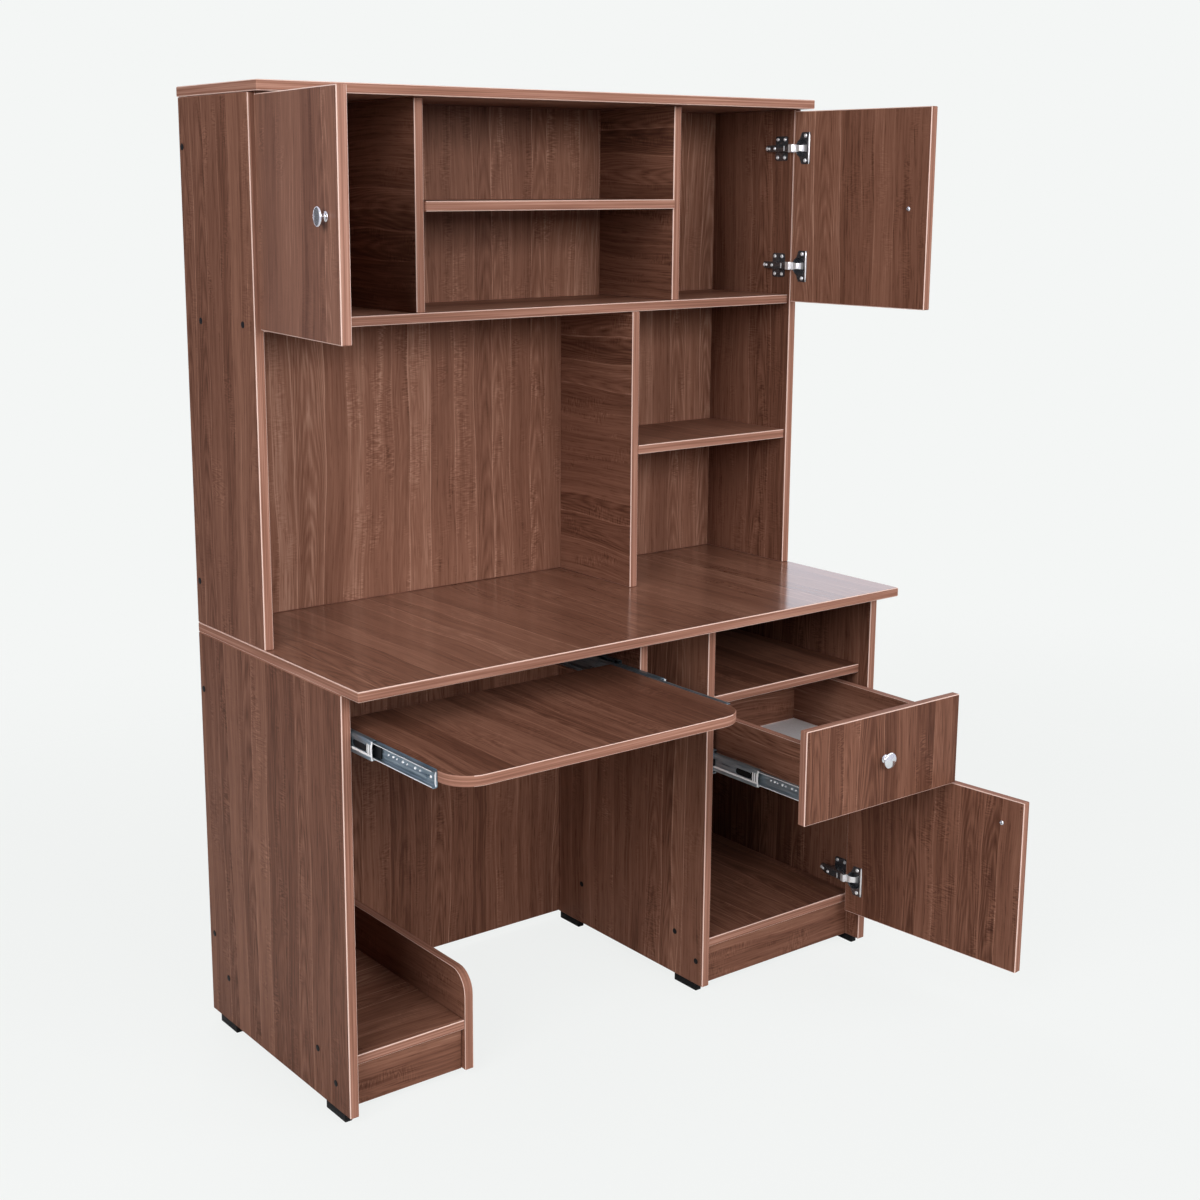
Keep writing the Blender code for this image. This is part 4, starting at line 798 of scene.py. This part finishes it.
for run, body in (("drawer", "drawer"), ("tray", "keyboard_tray")):
    zinc = plain(f"{run}_slide_zinc", ZINC_TONES[run], 0.004, 0.3, ZINC_METALLIC[run], stretch=(1, 12, 1))
    for side, way in (("left", 1), ("right", -1)):
        names = [f"{run}_{side}_slide_{part}" for part in ("outer", "middle", "inner")]
        for node in names:
            frame["nodes"][node].data.materials.clear()
            frame["nodes"][node].data.materials.append(zinc)
        outer, middle, inner = (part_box(node) for node in names)
        face = outer[0].x - FACE_GAP if way > 0 else outer[1].x + FACE_GAP
        height = (outer[0].z + outer[1].z) / 2
        axes = np.array(((way, 0, 0), (0, 0, 1), (0, 1, 0)))
        at_middle, at_inner = (face, middle[0].y, height), (face, inner[0].y, height)
        ahead = inner[0].y - middle[0].y
        rise = np.linspace(-1, 1, 15)

        # The races: two hollow lips along the middle channel's outer face, in which the balls run. The bead:
        # a long swelling that stiffens the inner channel's web, with the washers of its screws in the slots,
        # and on the tray a flange up to the board's top.
        length = middle[1].y - middle[0].y
        lips = [loft(along_slide(RACE * (1, up), (0.0004, 0.001, length - 0.001), (0.995, 1, 1)))
                for up in (-1, 1)]
        piece(f"{run}_{side}_races", lips, zinc, run + "_slide_middles", at_middle, axes)
        web = [loft(along_slide(BEAD, (0.026, 0.03, length - 0.03, length - 0.026), (0.7, 1, 1, 0.7)))]
        places = (SCREW_INSET, 0.5 * length, 0.75 * length)
        for place in places:
            outline = oblong((place - WASHER[0], -WASHER[1]), (place + WASHER[0], WASHER[1]), 0.003)
            points, faces = loft(plate(outline, 0.0119, 0.01255, 0.0002))
            web.append((points[:, ::-1], faces))
        if run == "tray":
            web.append(loft(along_slide(FLANGE, (0.0005, 0.001, length - 0.001), (0.99, 1, 1))))
        piece(f"{run}_{side}_bead", web, zinc, body, at_inner, axes)

        # The hook: three half-round ribs across the middle channel's front end, bowed as they rise, white as
        # painted highlights. A painted highlight line goes with them, along the lower race.
        bands = [loft(along_slide(RACE_HIGHLIGHT, (0.0006, 0.001, length - 0.001), (0.99, 1, 1)))]
        for start, width, bow in HOOK_RIBS:
            section = oblong((HOOK[0], start), (HOOK[1], start + width), 0.0011)
            bands.append(loft(across_slide(section, rise, HOOK_HALF, bow * (1 - rise ** 2))))
        piece(f"{run}_{side}_hook", bands, slide_highlight, run + "_slide_middles", at_middle, axes)

        # The cage: a black strip behind the middle channel's window, which holds the balls apart. Bowed black
        # bands between the ribs and before the window are painted shade.
        section = oblong((CAGE[0], -CAGE[2]), (CAGE[1], CAGE[2]), 0.0004)
        ends = np.array((0.012, 0.0135, CAGE[3], CAGE[3] + 0.0015))
        strips = [loft(along_slide(section, ends, (0.8, 1, 1, 0.8)))]
        for start, width in SHADE_BANDS:
            section = oblong((HOOK[0], start), (HOOK[1], start + width), 0.0004) + (0.0003, 0)
            strips.append(loft(across_slide(section, rise, 0.96 * HOOK_HALF, 0.0018 * (1 - rise ** 2))))
        piece(f"{run}_{side}_cage", strips, black_plastic, run + "_slide_middles", at_middle,
              axes)

        # The tray's release lever: a black blade on the inner channel's web, which tapers to its front.
        if run == "tray":
            section = oblong((LEVER[0], -1), (LEVER[1], 1), 0.0006)
            blade = along_slide(section, LEVER_PLACES, LEVER_HALVES)
            piece(f"{run}_{side}_lever", [loft(blade)], black_plastic, body, at_middle, axes)

        # The inner channel's parts that are white as painted highlights: the rolled edges of its lips, domed
        # rivets and screws on its web, and a bracket with two lugs at its front end.
        outwards = ((0, 1, 0), (0, 0, 1), (-1, 0, 0))
        rivets = [screw_head(radius, (INNER_WEB - 0.0003, up, (share - 1) * ahead), outwards)
                  for share, up, radius in RIVETS]
        rivets += [screw_head(SCREW_RADIUS, (0.012, 0, place), outwards) for place in places]
        lugs = 0.0016 * np.exp(-((np.abs(rise) - 0.8) / 0.14) ** 2)
        rivets.append(loft(across_slide(oblong(*BRACKET, 0.0005), rise, 0.0126, -lugs)))
        rivets += [loft(along_slide(ROLL * (1, up), (0.0045, 0.005, length - 0.001), (0.99, 1, 1)))
                   for up in (-1, 1)]
        piece(f"{run}_{side}_rivets", rivets, slide_highlight, body, at_inner, axes)

        # The bumpers: plastic blocks between the lips of the outer and the middle channel, at the front, and
        # a catch that sticks out of the outer channel.
        blocks = []
        for up in (-1, 1):
            outline = oblong((BUMPER[0], up * BUMPER[2]), (BUMPER[1], up * BUMPER[3]), 0.0008)
            blocks.append(loft(plate(outline, 0.0005, 0.0105, 0.0006)))
        section = oblong((CATCH[0], -1), (CATCH[1], 1), 0.0004)
        halves = (0.7 * CATCH[2], CATCH[2], CATCH[2])
        blocks.append(loft(along_slide(section, CATCH_PLACES, halves)))
        piece(f"{run}_{side}_bumpers", blocks, black_plastic, "carcass",
              (face, outer[0].y, height), axes)
